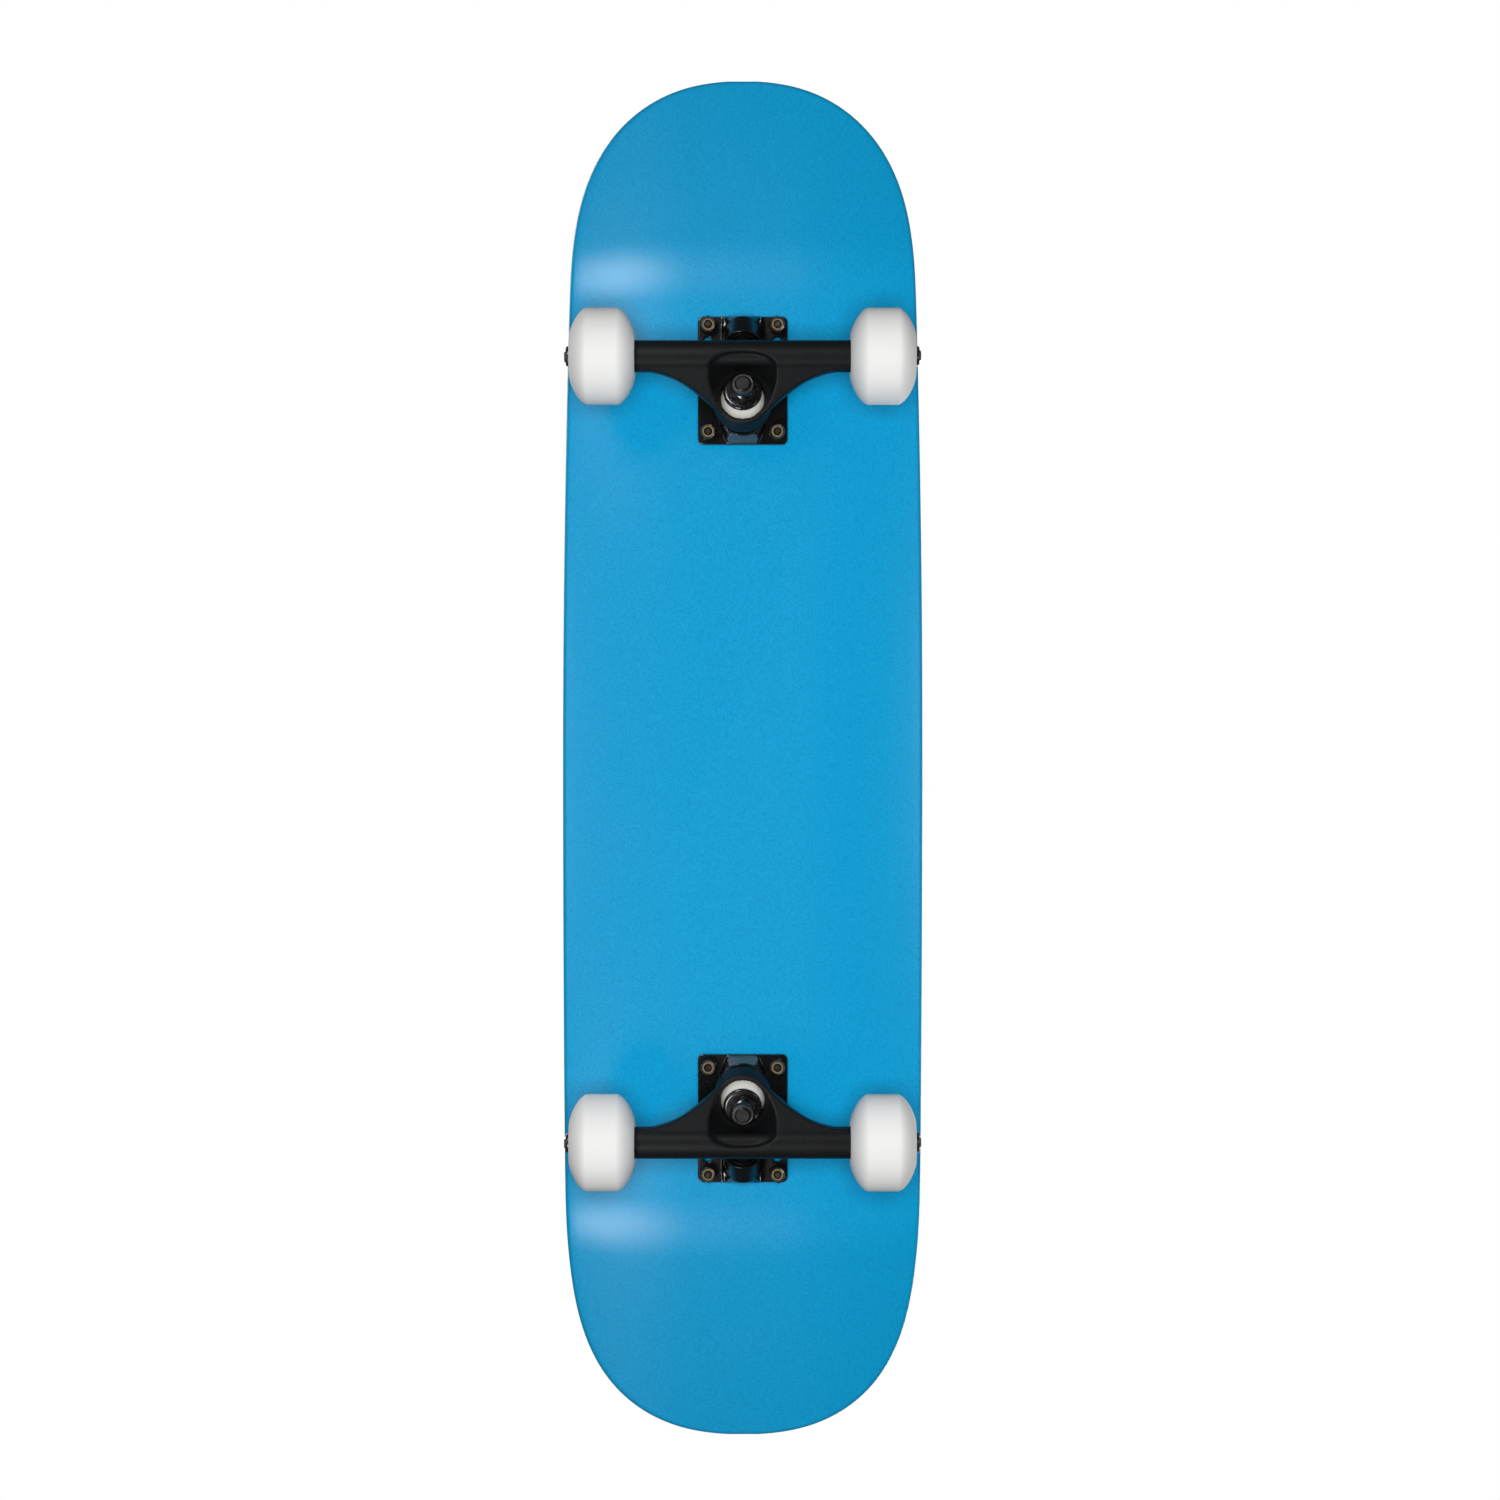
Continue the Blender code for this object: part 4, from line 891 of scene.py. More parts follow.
class SKATE_OT_deck(bpy.types.Operator):
    """Press the seven plies, round the rim and paint the underside"""

    bl_idname = "skate.deck"
    bl_label = "Deck"

    def execute(self, context):
        deck = context.scene.skate_deck
        rim, thick = deck.edge_round, deck.thickness
        under = [(rim - h, i) for h, i in round_rim(0, rim, rim, 0, 90, 7)]
        over = round_rim(thick - rim, rim, rim, 90, 0, 7)
        side = [(rim + (thick - 2 * rim) * i / 3, 0) for i in (1, 2)]
        shape = board_shell(deck, under + side + over, 48)
        mesh = drilled("deck_board", shape)
        paint = material_named("blue_paint_on_maple")
        put("deck_board", mesh, Matrix(), "board", paint, ["deck"])
        return {"FINISHED"}


class SKATE_OT_grip(bpy.types.Operator):
    """Lay the grip tape on the deck and down over its rounded rim"""

    bl_idname = "skate.grip"
    bl_label = "Grip tape"

    def execute(self, context):
        deck = context.scene.skate_deck
        rim, base = deck.edge_round, deck.thickness - deck.edge_round
        inner = round_rim(base, rim + GAP, rim, 0, 45, 5)
        outer = round_rim(base, rim + GAP + deck.grip_thickness, rim, 45, 0, 5)
        shape = board_shell(deck, inner + outer, 48)
        mesh = drilled("grip_sheet", shape)
        grit_skin = material_named("grip_grit")
        put("grip_sheet", mesh, Matrix(), "board", grit_skin, ["grip_tape"])
        return {"FINISHED"}


# -------------------------------------------------------------------------------------- trucks

# Heights down the kingpin's axis from the deck's underside, as the pieces are stacked on it
BOSS_SEAT = 11.9 * MM
WASHER_THICKNESS = 1.7 * MM
WASHER_LIP = 0.9 * MM
WASHER_WALL = 1 * MM
BOARDSIDE_HEIGHT = 14.1 * MM
ROADSIDE_HEIGHT = 10.5 * MM
BOARDSIDE_END = 11.8 * MM
ROADSIDE_END = 10 * MM
RING_WEB = 7.6 * MM
RING_LIP = 1.9 * MM
BOWL_LIP = 3.9 * MM
RING_WALL = 3.4 * MM
KINGPIN_NUT_FLATS = 14.3 * MM
KINGPIN_NUT_HEIGHT = 9.5 * MM
KINGPIN_PROUD = 1.2 * MM
KINGPIN_HEAD_RADIUS = 8 * MM
BOSS_HEAD_WALL = 3.4 * MM

BOARDSIDE_WASHER_TOP = BOSS_SEAT + GAP
BOARDSIDE_TOP = BOARDSIDE_WASHER_TOP + WASHER_THICKNESS + GAP
RING_TOP = BOARDSIDE_TOP + BOARDSIDE_HEIGHT + GAP
RING_MIDDLE = RING_TOP + RING_WEB / 2
RING_BOTTOM = RING_TOP + RING_WEB
ROADSIDE_TOP = RING_BOTTOM + GAP
ROADSIDE_WASHER_TOP = ROADSIDE_TOP + ROADSIDE_HEIGHT + GAP
KINGPIN_NUT_TOP = ROADSIDE_WASHER_TOP + WASHER_THICKNESS + GAP
KINGPIN_END = KINGPIN_NUT_TOP + KINGPIN_NUT_HEIGHT + KINGPIN_PROUD

# Pivot: its ball's middle in the truck's frame, the stem's slope, and the cup round the ball
PIVOT = Vector((-24 * MM, 0, -14 * MM))
PIVOT_SLOPE = math.radians(40)
PIVOT_BALL = 5.2 * MM
PIVOT_CUP_WALL = 2.4 * MM
PIVOT_CUP_DEPTH = 6.7 * MM
HOUSING_WALL = 2.4 * MM
STEM_LENGTH = 22 * MM
STEM_ROOT = 8.6 * MM
STEER_LIMIT = math.radians(15)

# Hanger: its web's flare, its bowl, and the sleeve that holds the axle
HANGER_LENGTH = 136.4 * MM
FLARE_HALF_WIDTH = 60 * MM
FLARE_CURVE = 10.8
BOWL_HALF_WIDTH = 22.6 * MM
SLEEVE_WALL = 1.3 * MM
SOCKET_SLACK = 2.6 * MM

# Baseplate edges and the cut-back nose of its boss
PLATE_CORNER = 3.2 * MM
BOSS_NOSE_WIDTH = 20 * MM
BOSS_NOSE_SETBACK = 4.6 * MM
SHORT_HOLES_LONG = 53.975 * MM

LOCKNUT_FLATS = 9.5 * MM
LOCKNUT_HEIGHT = 5.9 * MM
AXLE_NUT_FLATS = 12.7 * MM
AXLE_NUT_HEIGHT = 7.7 * MM
CAST_VOXEL = 0.62 * MM


def truck_frame(end):
    """From a truck's own frame to the board's: the front truck is the rear one turned half round."""
    turn = Matrix.Rotation(math.pi if end == "front" else 0, 4, "Z")
    return Matrix.Translation((TRUCK_PLACES[end], 0, DECK_UNDERSIDE)) @ turn


def kingpin_frame(truck):
    return Matrix.Translation((truck.kingpin_base, 0, 0)) @ Matrix.Rotation(truck.kingpin_lean, 4, "Y")


def pivot_frame():
    return Matrix.Translation(PIVOT) @ Matrix.Rotation(math.pi / 2 + PIVOT_SLOPE, 4, "Y")


def axle_centre():
    """Middle of the axle in the truck's frame, read from the packed rear axle."""
    return truck_frame("rear").inverted() @ middle("rear_axle")


def down(truck, height):
    """A place on the kingpin's axis, turned to it, at a height down from the deck's underside."""
    return kingpin_frame(truck) @ Matrix.Translation((0, 0, -height))


def nut_parts(flats, height, hole, name):
    """A hexagonal nut with both faces dressed to a cone, and the round crown that holds its collar."""
    crown_height = 0.3 * height
    corner = flats / math.sqrt(3)
    body_low = -height + crown_height
    cone = [
        (0, 0),
        (0.48 * flats, 0),
        (corner, -0.16 * flats * 0.5),
        (corner, body_low + 0.16 * flats * 0.6),
        (0.475 * flats, body_low),
        (0.47 * flats, body_low - 0.3 * crown_height),
        (0.455 * flats, -height + 0.25 * crown_height),
        (0.42 * flats, -height),
        (0.36 * flats, -height + 0.12 * crown_height),
        (0.355 * flats, -height + 0.5 * crown_height),
        (0, -height + 0.5 * crown_height),
    ]
    body = hexagon(flats, -2 * height, height)
    steps = [
        ("INTERSECT", turned(cone, FINE_STEPS), Matrix()),
        ("DIFFERENCE", rod(hole, -2 * height, height), Matrix()),
    ]
    return combine(name, body, steps)


def collar_mesh(flats, height, hole):
    """The nylon ring pressed into a locknut's crown."""
    crown_height = 0.3 * height
    outer, low = 0.352 * flats, -height + 0.05 * crown_height
    top = -height + 0.5 * crown_height - 0.05 * MM
    profile = [
        (hole, top),
        (hole, low + 0.35 * MM),
        (hole + 0.4 * MM, low),
        (outer - 0.25 * MM, low - 0.05 * MM),
        (outer, low + 0.2 * MM),
        (outer, top),
    ]
    return to_mesh(turned(profile, FINE_STEPS), "collar")


def threaded_end(radius, length, pitch):
    """Profile of a threaded bolt end from its tip upwards, its threads as even ridges."""
    tip = 0.55 * pitch
    points = [(0, 0), (radius - 0.9 * pitch, 0), (radius - 0.45 * pitch, tip)]
    for i in range(int((length - tip) / pitch)):
        start = tip + pitch * i
        points.append((radius, start + 0.45 * pitch))
        points.append((radius - 0.5 * pitch, start + 0.95 * pitch))
    return points


def washer_mesh(hole, radius, lip_down):
    """Cupped washer with its board-side face at 0, its rim turned towards the bushing."""
    bottom = -WASHER_THICKNESS
    lip = bottom - WASHER_LIP if lip_down else WASHER_LIP
    face, back = (bottom, 0.0) if lip_down else (0.0, bottom)
    outer = radius + WASHER_WALL
    profile = [(hole, (back + face) / 2), (hole, back)]
    profile += [(radius - 0.4 * MM, back), (outer, (back + face) / 2), (outer, lip)]
    profile += [(radius + 0.1 * MM, lip), (radius, face), (hole, face), (hole, (back + face) / 2)]
    return to_mesh(turned(filleted(profile, 0.6 * MM, 4)[:-1], FINE_STEPS), "washer")


def bushing_mesh(hole, board_end, road_end, height, belly):
    """Poured bushing with rounded rims and a slight belly."""
    middle_radius = (board_end + road_end) / 2 + belly
    profile = [(hole, -height / 2), (hole, 0), (board_end, 0), (middle_radius, -height / 2)]
    profile += [(road_end, -height), (hole, -height), (hole, -height / 2)]
    shape = turned(filleted(profile, 1.1 * MM, 5)[:-1], FINE_STEPS)
    long_edges = [e for e in shape.edges if e.calc_length() > 0.25 * height and e.is_manifold]
    bmesh.ops.subdivide_edges(shape, edges=long_edges, cuts=5, use_grid_fill=True)
    return to_mesh(shape, "bushing")


def baseplate_mesh(truck):
    """Cast baseplate: a plate with a kingpin boss, a pivot housing and two stiffening ribs."""
    place = Matrix.Translation((-TRUCK_PLACES["rear"], 0, -DECK_UNDERSIDE))
    high = place @ PLATE_HIGH
    outboard, inboard, half = -HOLES_LONG / 2 - 5.3 * MM, high.x, high.y
    kingpin, pivot = kingpin_frame(truck), pivot_frame()
    corners = [(inboard, half), (outboard, half), (outboard, -half), (inboard, -half)]
    plate = prism(corners, "Z", -GAP - truck.plate_thickness, -GAP)
    upright = [e for e in plate.edges if abs(e.verts[0].co.z - e.verts[1].co.z) > GAP]
    bmesh.ops.bevel(
        plate, geom=upright, offset=PLATE_CORNER, segments=8, profile=0.5, affect="EDGES", material=-1
    )

    foot = -GAP - 0.7 * truck.plate_thickness
    nose_half = BOSS_NOSE_WIDTH / 2
    boss_foot = [
        (inboard - 0.3 * MM, nose_half * 0.9),
        (inboard - 2.5 * MM, nose_half),
        (truck.kingpin_base, truck.boss_radius),
        (truck.kingpin_base - 1.4 * truck.boss_radius, truck.boss_radius * 0.9),
    ]
    nose_top = kingpin.inverted() @ Vector((inboard - BOSS_NOSE_SETBACK, 0, -BOSS_SEAT))
    seat = [
        kingpin @ Vector((min(point.x, nose_top.x), point.y, point.z))
        for point in circle(Matrix(), truck.boss_radius, -BOSS_SEAT)
    ]
    boss = hull(seat + [(x, s * y, foot) for x, y in boss_foot for s in (1, -1)])

    cup_back = PIVOT_BALL + GAP + PIVOT_CUP_WALL
    bore = PIVOT_BALL + GAP + PIVOT_CUP_WALL + GAP
    housing_radius = bore + HOUSING_WALL
    housing_foot = [
        (outboard - 0.4 * MM, housing_radius * 0.95),
        (outboard + 4 * MM, housing_radius + 1.5 * MM),
        (PIVOT.x + housing_radius, housing_radius + 1.5 * MM),
    ]
    barrel = circle(pivot, housing_radius, PIVOT_CUP_DEPTH)
    barrel += circle(pivot, housing_radius - 1.4 * MM, -cup_back)
    housing = hull(barrel + [(x, s * y, foot) for x, y in housing_foot for s in (1, -1)])
    ribs = []
    for s in (1, -1):
        side = s * (housing_radius + 0.2 * MM)
        rib = [
            (x, side + w, z)
            for w in (-0.8 * MM, 0.8 * MM)
            for x, z in (
                (outboard + 0.6 * MM, foot),
                (outboard + 0.8 * MM, foot - 6.5 * MM),
                (PIVOT.x + 6 * MM, foot - 7.5 * MM),
                (PIVOT.x + 14 * MM, foot),
            )
        ]
        ribs.append(("UNION", hull(rib), Matrix()))

    through = 40 * MM
    kingpin_hole = rod(truck.kingpin_radius + GAP, -through, 0)
    pocket = BOSS_SEAT - BOSS_HEAD_WALL
    head_pocket = rod(KINGPIN_HEAD_RADIUS + GAP, -pocket, through)
    places = [(x * HOLES_LONG / 2, y * HOLES_WIDE / 2) for x in (1, -1) for y in (1, -1)]
    spare_row = HOLES_LONG / 2 - SHORT_HOLES_LONG
    places += [(spare_row, HOLES_WIDE / 2), (spare_row, -HOLES_WIDE / 2)]
    steps = [("UNION", boss, Matrix()), ("UNION", housing, Matrix())] + ribs
    steps += [
        ("DIFFERENCE", rod(bore, -cup_back - GAP, through), pivot),
        ("DIFFERENCE", kingpin_hole, kingpin),
        ("DIFFERENCE", head_pocket, kingpin),
    ]
    steps += [
        ("DIFFERENCE", rod(BOLT_RADIUS + GAP, -through, through), Matrix.Translation((x, y, 0)))
        for x, y in places
    ]
    return combine("baseplate", plate, steps, CAST_VOXEL * 0.85, max(truck.cast_round - 3, 0))


def painted_nose_glint_mesh(truck):
    """Six-sided pale grey patch on the sloping nose of the kingpin boss: a painted reflection of the
    light on that glossy facet.
    """
    inboard = PLATE_HIGH.x - TRUCK_PLACES["rear"]
    kingpin = kingpin_frame(truck)
    nose_top = kingpin.inverted() @ Vector((inboard - BOSS_NOSE_SETBACK, 0, -BOSS_SEAT))
    top = kingpin @ Vector((nose_top.x, 0, -BOSS_SEAT))
    foot = Vector((inboard - 0.3 * MM, 0, -GAP - 0.7 * truck.plate_thickness))
    up = top - foot
    outward = Vector((-up.z, 0, up.x)).normalized()
    corners = []
    for share, half in ((0.06, 8.0 * MM), (0.5, 9.2 * MM), (0.94, 8.0 * MM)):
        for side in (1, -1):
            for proud in (0.3 * MM, -0.9 * MM):
                corners.append(foot + share * up + proud * outward + Vector((0, side * half, 0)))
    flat = hull(corners)
    bmesh.ops.bevel(
        flat, geom=flat.edges[:], offset=0.2 * MM, segments=2, profile=0.5, affect="EDGES", material=-1
    )
    return to_mesh(flat, "painted_nose_glint")


def washer_room(kingpin):
    """Circle that the roadside washer's rim stays inside while the hanger leans to its limit."""
    rim = ROADSIDE_END + GAP + WASHER_WALL
    lip = ROADSIDE_WASHER_TOP - WASHER_LIP - RING_MIDDLE
    far_face = ROADSIDE_WASHER_TOP + WASHER_THICKNESS - RING_MIDDLE
    reach = rim * math.cos(STEER_LIMIT) + far_face * math.sin(STEER_LIMIT)
    risen_lip = lip * math.cos(STEER_LIMIT) - rim * math.sin(STEER_LIMIT)
    return circle(kingpin, reach + GAP, -RING_MIDDLE - risen_lip)


def hanger_mesh(truck):
    """Cast hanger: the part common to its plan, side and front outlines, with arms, ring and stem
    added, the bowl and its throat cut out, and the axle's sleeve bridging the bowl."""
    arm, ring_radius = truck.arm_radius, truck.bushing_radius + GAP + RING_WALL
    seat = truck.bushing_radius + GAP
    kingpin, pivot, centre = kingpin_frame(truck), pivot_frame(), axle_centre()
    ring_centre = kingpin @ Vector((0, 0, -RING_MIDDLE))
    bottom = centre.z - arm

    across = [FLARE_HALF_WIDTH - i * (FLARE_HALF_WIDTH - 0.7 * ring_radius) / 20 for i in range(21)]
    flare = [(centre.x + 0.9 * arm + FLARE_CURVE * (FLARE_HALF_WIDTH - y) ** 2, y) for y in across]
    back = centre.x - 0.9 * arm
    plan = [(back, across[0])] + flare + [(x, -y) for x, y in reversed(flare)] + [(back, -across[0])]
    web_plan = prism(plan, "Z", bottom - 5 * MM, 0)

    across_frame = Matrix.Rotation(math.pi / 2, 4, "X")
    arm_frame = Matrix.Translation(centre) @ across_frame
    stem_root = pivot @ Vector((0, 0, STEM_LENGTH))
    stem_frame = Matrix.Translation(stem_root) @ across_frame
    ring_corners = [
        kingpin @ Vector((x * ring_radius, 0, z))
        for x, z in ((-0.85, -RING_TOP), (0.8, -RING_TOP), (0.8, -RING_BOTTOM - RING_LIP / 2))
    ]
    side_points = []
    for wide in (-FLARE_HALF_WIDTH, FLARE_HALF_WIDTH):
        side_points += circle(arm_frame, 0.97 * arm, wide)
        side_points += circle(stem_frame, STEM_ROOT, wide)
        side_points += [Vector((p.x, wide, p.z)) for p in ring_corners]

    crown = stem_root.z + 1.2 * STEM_ROOT
    arm_top = centre.z + 0.9 * arm
    half_front = [
        (FLARE_HALF_WIDTH + MM, bottom + 2 * MM),
        (FLARE_HALF_WIDTH + MM, arm_top - 2 * MM),
        (2.2 * ring_radius, arm_top),
        (1.1 * ring_radius, ring_centre.z + RING_WEB / 2),
        (0.7 * ring_radius, crown),
    ]
    front = half_front + [(-y, z) for y, z in reversed(half_front)]
    web_front = prism(front, "X", -60 * MM, 60 * MM)

    half = HANGER_LENGTH / 2
    arm_profile = [(0, -half), (arm, -half), (arm, half), (0, half)]
    ring = rod(ring_radius, -RING_BOTTOM - BOWL_LIP, -RING_TOP + RING_LIP, FINE_STEPS)
    stem = [
        (0, -PIVOT_BALL),
        (0.42 * PIVOT_BALL, -0.91 * PIVOT_BALL),
        (0.72 * PIVOT_BALL, -0.7 * PIVOT_BALL),
        (0.94 * PIVOT_BALL, -0.34 * PIVOT_BALL),
        (PIVOT_BALL, 0),
        (0.98 * PIVOT_BALL, 0.5 * PIVOT_BALL),
        (0.9 * STEM_ROOT, STEM_LENGTH - 0.5 * STEM_ROOT),
        (0, STEM_LENGTH),
    ]

    # The bowl opens from the throat round the kingpin to a rounded triangle on the road side
    throat = KINGPIN_NUT_FLATS / math.sqrt(3) + SOCKET_SLACK
    below = bottom - 3 * MM
    rim = [
        (centre.x - 0.36 * arm, 0.0),
        (centre.x - 0.3 * arm, 0.4 * BOWL_HALF_WIDTH),
        (centre.x - 0.05 * arm, 0.72 * BOWL_HALF_WIDTH),
        (centre.x + 0.35 * arm, 0.92 * BOWL_HALF_WIDTH),
        (centre.x + arm, BOWL_HALF_WIDTH),
        (centre.x + 1.5 * arm, 0.94 * BOWL_HALF_WIDTH),
        (centre.x + 2 * arm, 0.8 * BOWL_HALF_WIDTH),
    ]
    bowl_points = [Vector((x, s * y, below)) for x, y in rim for s in (1, -1)]
    bowl_points += circle(kingpin, seat - 0.4 * MM, -RING_BOTTOM - BOWL_LIP)
    bowl_points += washer_room(kingpin)
    bowl_points += circle(kingpin, seat, -KINGPIN_END - 10 * MM)
    sleeve_radius = truck.axle_radius + GAP + SLEEVE_WALL
    sleeve = rod(sleeve_radius, -1.3 * BOWL_HALF_WIDTH, 1.3 * BOWL_HALF_WIDTH)
    throat_profile = [
        (0, -RING_BOTTOM),
        (seat, -RING_BOTTOM),
        (seat, -RING_BOTTOM - BOWL_LIP - MM),
        (throat, -KINGPIN_NUT_TOP - 0.5 * KINGPIN_NUT_HEIGHT),
        (throat, -KINGPIN_END - 10 * MM),
        (0, -KINGPIN_END - 10 * MM),
    ]
    kingpin_way = rod(truck.kingpin_radius + 3.3 * MM, -RING_BOTTOM - MM, -RING_TOP + MM)
    steps = [
        ("INTERSECT", hull(side_points), Matrix()),
        ("INTERSECT", web_front, Matrix()),
        ("UNION", turned(filleted(arm_profile, 1.2 * MM), FINE_STEPS), arm_frame),
        ("UNION", turned(stem, SMALL_STEPS), pivot),
        ("UNION", ring, kingpin),
        ("DIFFERENCE", hull(bowl_points), Matrix()),
        ("UNION", sleeve, arm_frame),
        ("DIFFERENCE", turned(throat_profile, FINE_STEPS), kingpin),
        ("DIFFERENCE", rod(seat, -RING_TOP, -BOSS_SEAT, FINE_STEPS), kingpin),
        ("DIFFERENCE", kingpin_way, kingpin),
        ("DIFFERENCE", rod(truck.axle_radius + GAP, -HANGER_LENGTH, HANGER_LENGTH), arm_frame),
    ]
    return combine("hanger", web_plan, steps, CAST_VOXEL, truck.cast_round)


class SKATE_OT_baseplates(bpy.types.Operator):
    """Cast both baseplates and press in their pivot cups"""

    bl_idname = "skate.baseplates"
    bl_label = "Baseplates and pivot cups"

    def execute(self, context):
        truck = context.scene.skate_truck
        plate = baseplate_mesh(truck)
        flat = painted_nose_glint_mesh(truck)
        ball = PIVOT_BALL + GAP
        radius = ball + PIVOT_CUP_WALL
        profile = [(0, -radius), (radius, -radius), (radius, PIVOT_CUP_DEPTH)]
        profile += [(radius - 0.8 * MM, PIVOT_CUP_DEPTH), (ball, 0)]
        profile += [(0.87 * ball, -0.5 * ball), (0.5 * ball, -0.87 * ball), (0, -ball)]
        cup = to_mesh(turned(filleted(profile, 0.4 * MM), FINE_STEPS), "pivot_cup")
        enamel, liner = material_named("gloss_enamel"), material_named("black_nylon")
        for end in ENDS:
            place = truck_frame(end)
            name = f"{end}_baseplate"
            put(f"{name}_casting", plate, place, "board", enamel, [name], None)
            # A pale patch on the boss nose paints the light's reflection on that facet
            glint_material = material_named("painted_glint_metal")
            put(f"{name}_painted_nose_glint", flat, place, "board", glint_material)
            name = f"{end}_pivot_cup"
            put(f"{name}_liner", cup, place @ pivot_frame(), "board", liner, [name])
        return {"FINISHED"}


class SKATE_OT_kingpins(bpy.types.Operator):
    """Turn the kingpins, their nuts and their cupped washers"""

    bl_idname = "skate.kingpins"
    bl_label = "Kingpins, nuts and washers"

    def execute(self, context):
        truck = context.scene.skate_truck
        black, end_steel = material_named("black_oxide_steel"), material_named("kingpin_end_steel")
        nylon = material_named("black_nylon")
        hole = truck.kingpin_radius + GAP
        head_low = BOSS_SEAT - BOSS_HEAD_WALL - GAP
        head_top = (2 * GAP + KINGPIN_HEAD_RADIUS * math.sin(truck.kingpin_lean)) / math.cos(
            truck.kingpin_lean
        )
        thread = threaded_end(truck.kingpin_radius, 18 * MM, 1.06 * MM)
        profile = [(radius, z - KINGPIN_END) for radius, z in thread]
        profile += [(truck.kingpin_radius, -KINGPIN_END + 19 * MM), (truck.kingpin_radius, -head_low)]
        profile += [(KINGPIN_HEAD_RADIUS, -head_low), (KINGPIN_HEAD_RADIUS, -head_top), (0, -head_top)]
        kingpin = to_mesh(turned(profile, FINE_STEPS), "kingpin")
        nut = nut_parts(KINGPIN_NUT_FLATS, KINGPIN_NUT_HEIGHT, hole, "kingpin_nut")
        collar = collar_mesh(KINGPIN_NUT_FLATS, KINGPIN_NUT_HEIGHT, hole)
        boardside = washer_mesh(hole, BOARDSIDE_END + GAP, lip_down=True)
        roadside = washer_mesh(hole, ROADSIDE_END + GAP, lip_down=False)
        for end in ENDS:
            place = truck_frame(end)
            for name, mesh, height, skin in (
                ("kingpin", kingpin, 0, end_steel),
                ("kingpin_nut", nut, KINGPIN_NUT_TOP, black),
                ("boardside_washer", boardside, BOARDSIDE_WASHER_TOP, black),
                ("roadside_washer", roadside, ROADSIDE_WASHER_TOP, black),
            ):
                node_name = f"{end}_{name}"
                spot = place @ down(truck, height)
                put(f"{node_name}_steel", mesh, spot, "board", skin, [node_name])
            spot = place @ down(truck, KINGPIN_NUT_TOP)
            put(f"{end}_kingpin_nut_collar", collar, spot, "board", nylon)
        return {"FINISHED"}


class SKATE_OT_bushings(bpy.types.Operator):
    """Pour the four bushings that sit between the board and the hanger"""

    bl_idname = "skate.bushings"
    bl_label = "Bushings"

    def execute(self, context):
        truck = context.scene.skate_truck
        hole, wide = truck.kingpin_radius + GAP, truck.bushing_radius
        boardside = bushing_mesh(hole, BOARDSIDE_END - 0.8 * MM, wide, BOARDSIDE_HEIGHT, 0)
        roadside = bushing_mesh(hole, wide, ROADSIDE_END, ROADSIDE_HEIGHT, 0.3 * MM)
        ivory = material_named("ivory_urethane")
        for end in ENDS:
            for name, mesh, top, board_end, ring_end in (
                ("boardside", boardside, BOARDSIDE_TOP, BOARDSIDE_TOP, BOARDSIDE_TOP + BOARDSIDE_HEIGHT),
                ("roadside", roadside, ROADSIDE_TOP, ROADSIDE_TOP + ROADSIDE_HEIGHT, ROADSIDE_TOP),
            ):
                place = truck_frame(end)
                node_name = f"{end}_{name}_bushing"
                spot = place @ down(truck, top)
                piece = put(f"{node_name}_pour", mesh, spot, None, ivory, [node_name])
                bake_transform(piece)
        return {"FINISHED"}


class SKATE_OT_hangers(bpy.types.Operator):
    """Cast both hangers and press in their axles"""

    bl_idname = "skate.hangers"
    bl_label = "Hangers and axles"

    def execute(self, context):
        truck = context.scene.skate_truck
        hanger = hanger_mesh(truck)
        low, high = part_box("rear_axle")
        half = (high.y - low.y) / 2
        thread = threaded_end(truck.axle_radius, 26 * MM, 1.06 * MM)
        one = [(radius, z - half) for radius, z in thread] + [(truck.axle_radius, 27 * MM - half)]
        axle = to_mesh(turned(one + [(r, -z) for r, z in reversed(one)], FINE_STEPS), "axle")
        for end in ENDS:
            place, body = truck_frame(end), f"{end}_hanger"
            skin = material_named("satin_powder_coat")
            put(f"{body}_casting", hanger, place, body, skin, [body], None)
            lie = place @ Matrix.Translation(axle_centre()) @ Matrix.Rotation(math.pi / 2, 4, "X")
            zinc = material_named("bright_zinc")
            put(f"{end}_axle_rod", axle, lie, body, zinc, [f"{end}_axle"])
        return {"FINISHED"}


def socket_bolt_mesh():
    """Flat-head bolt with a hexagon socket, from its head's top down to its threaded end."""
    low, high = bolt_heights()
    cone = high - 0.4 * MM
    shank = cone - BOLT_HEAD_RADIUS + BOLT_RADIUS
    thread = threaded_end(BOLT_RADIUS, 9 * MM, 0.79 * MM)
    profile = [(radius, z + low) for radius, z in thread] + [(BOLT_RADIUS, low + 9.5 * MM)]
    profile += [(BOLT_RADIUS, shank), (BOLT_HEAD_RADIUS, cone), (BOLT_HEAD_RADIUS, high - 0.15 * MM)]
    profile += [(BOLT_HEAD_RADIUS - 0.25 * MM, high), (0, high)]
    socket = hexagon(3.2 * MM, high - 2.4 * MM, high + MM)
    return combine("bolt", turned(profile, FINE_STEPS), [("DIFFERENCE", socket, Matrix())])


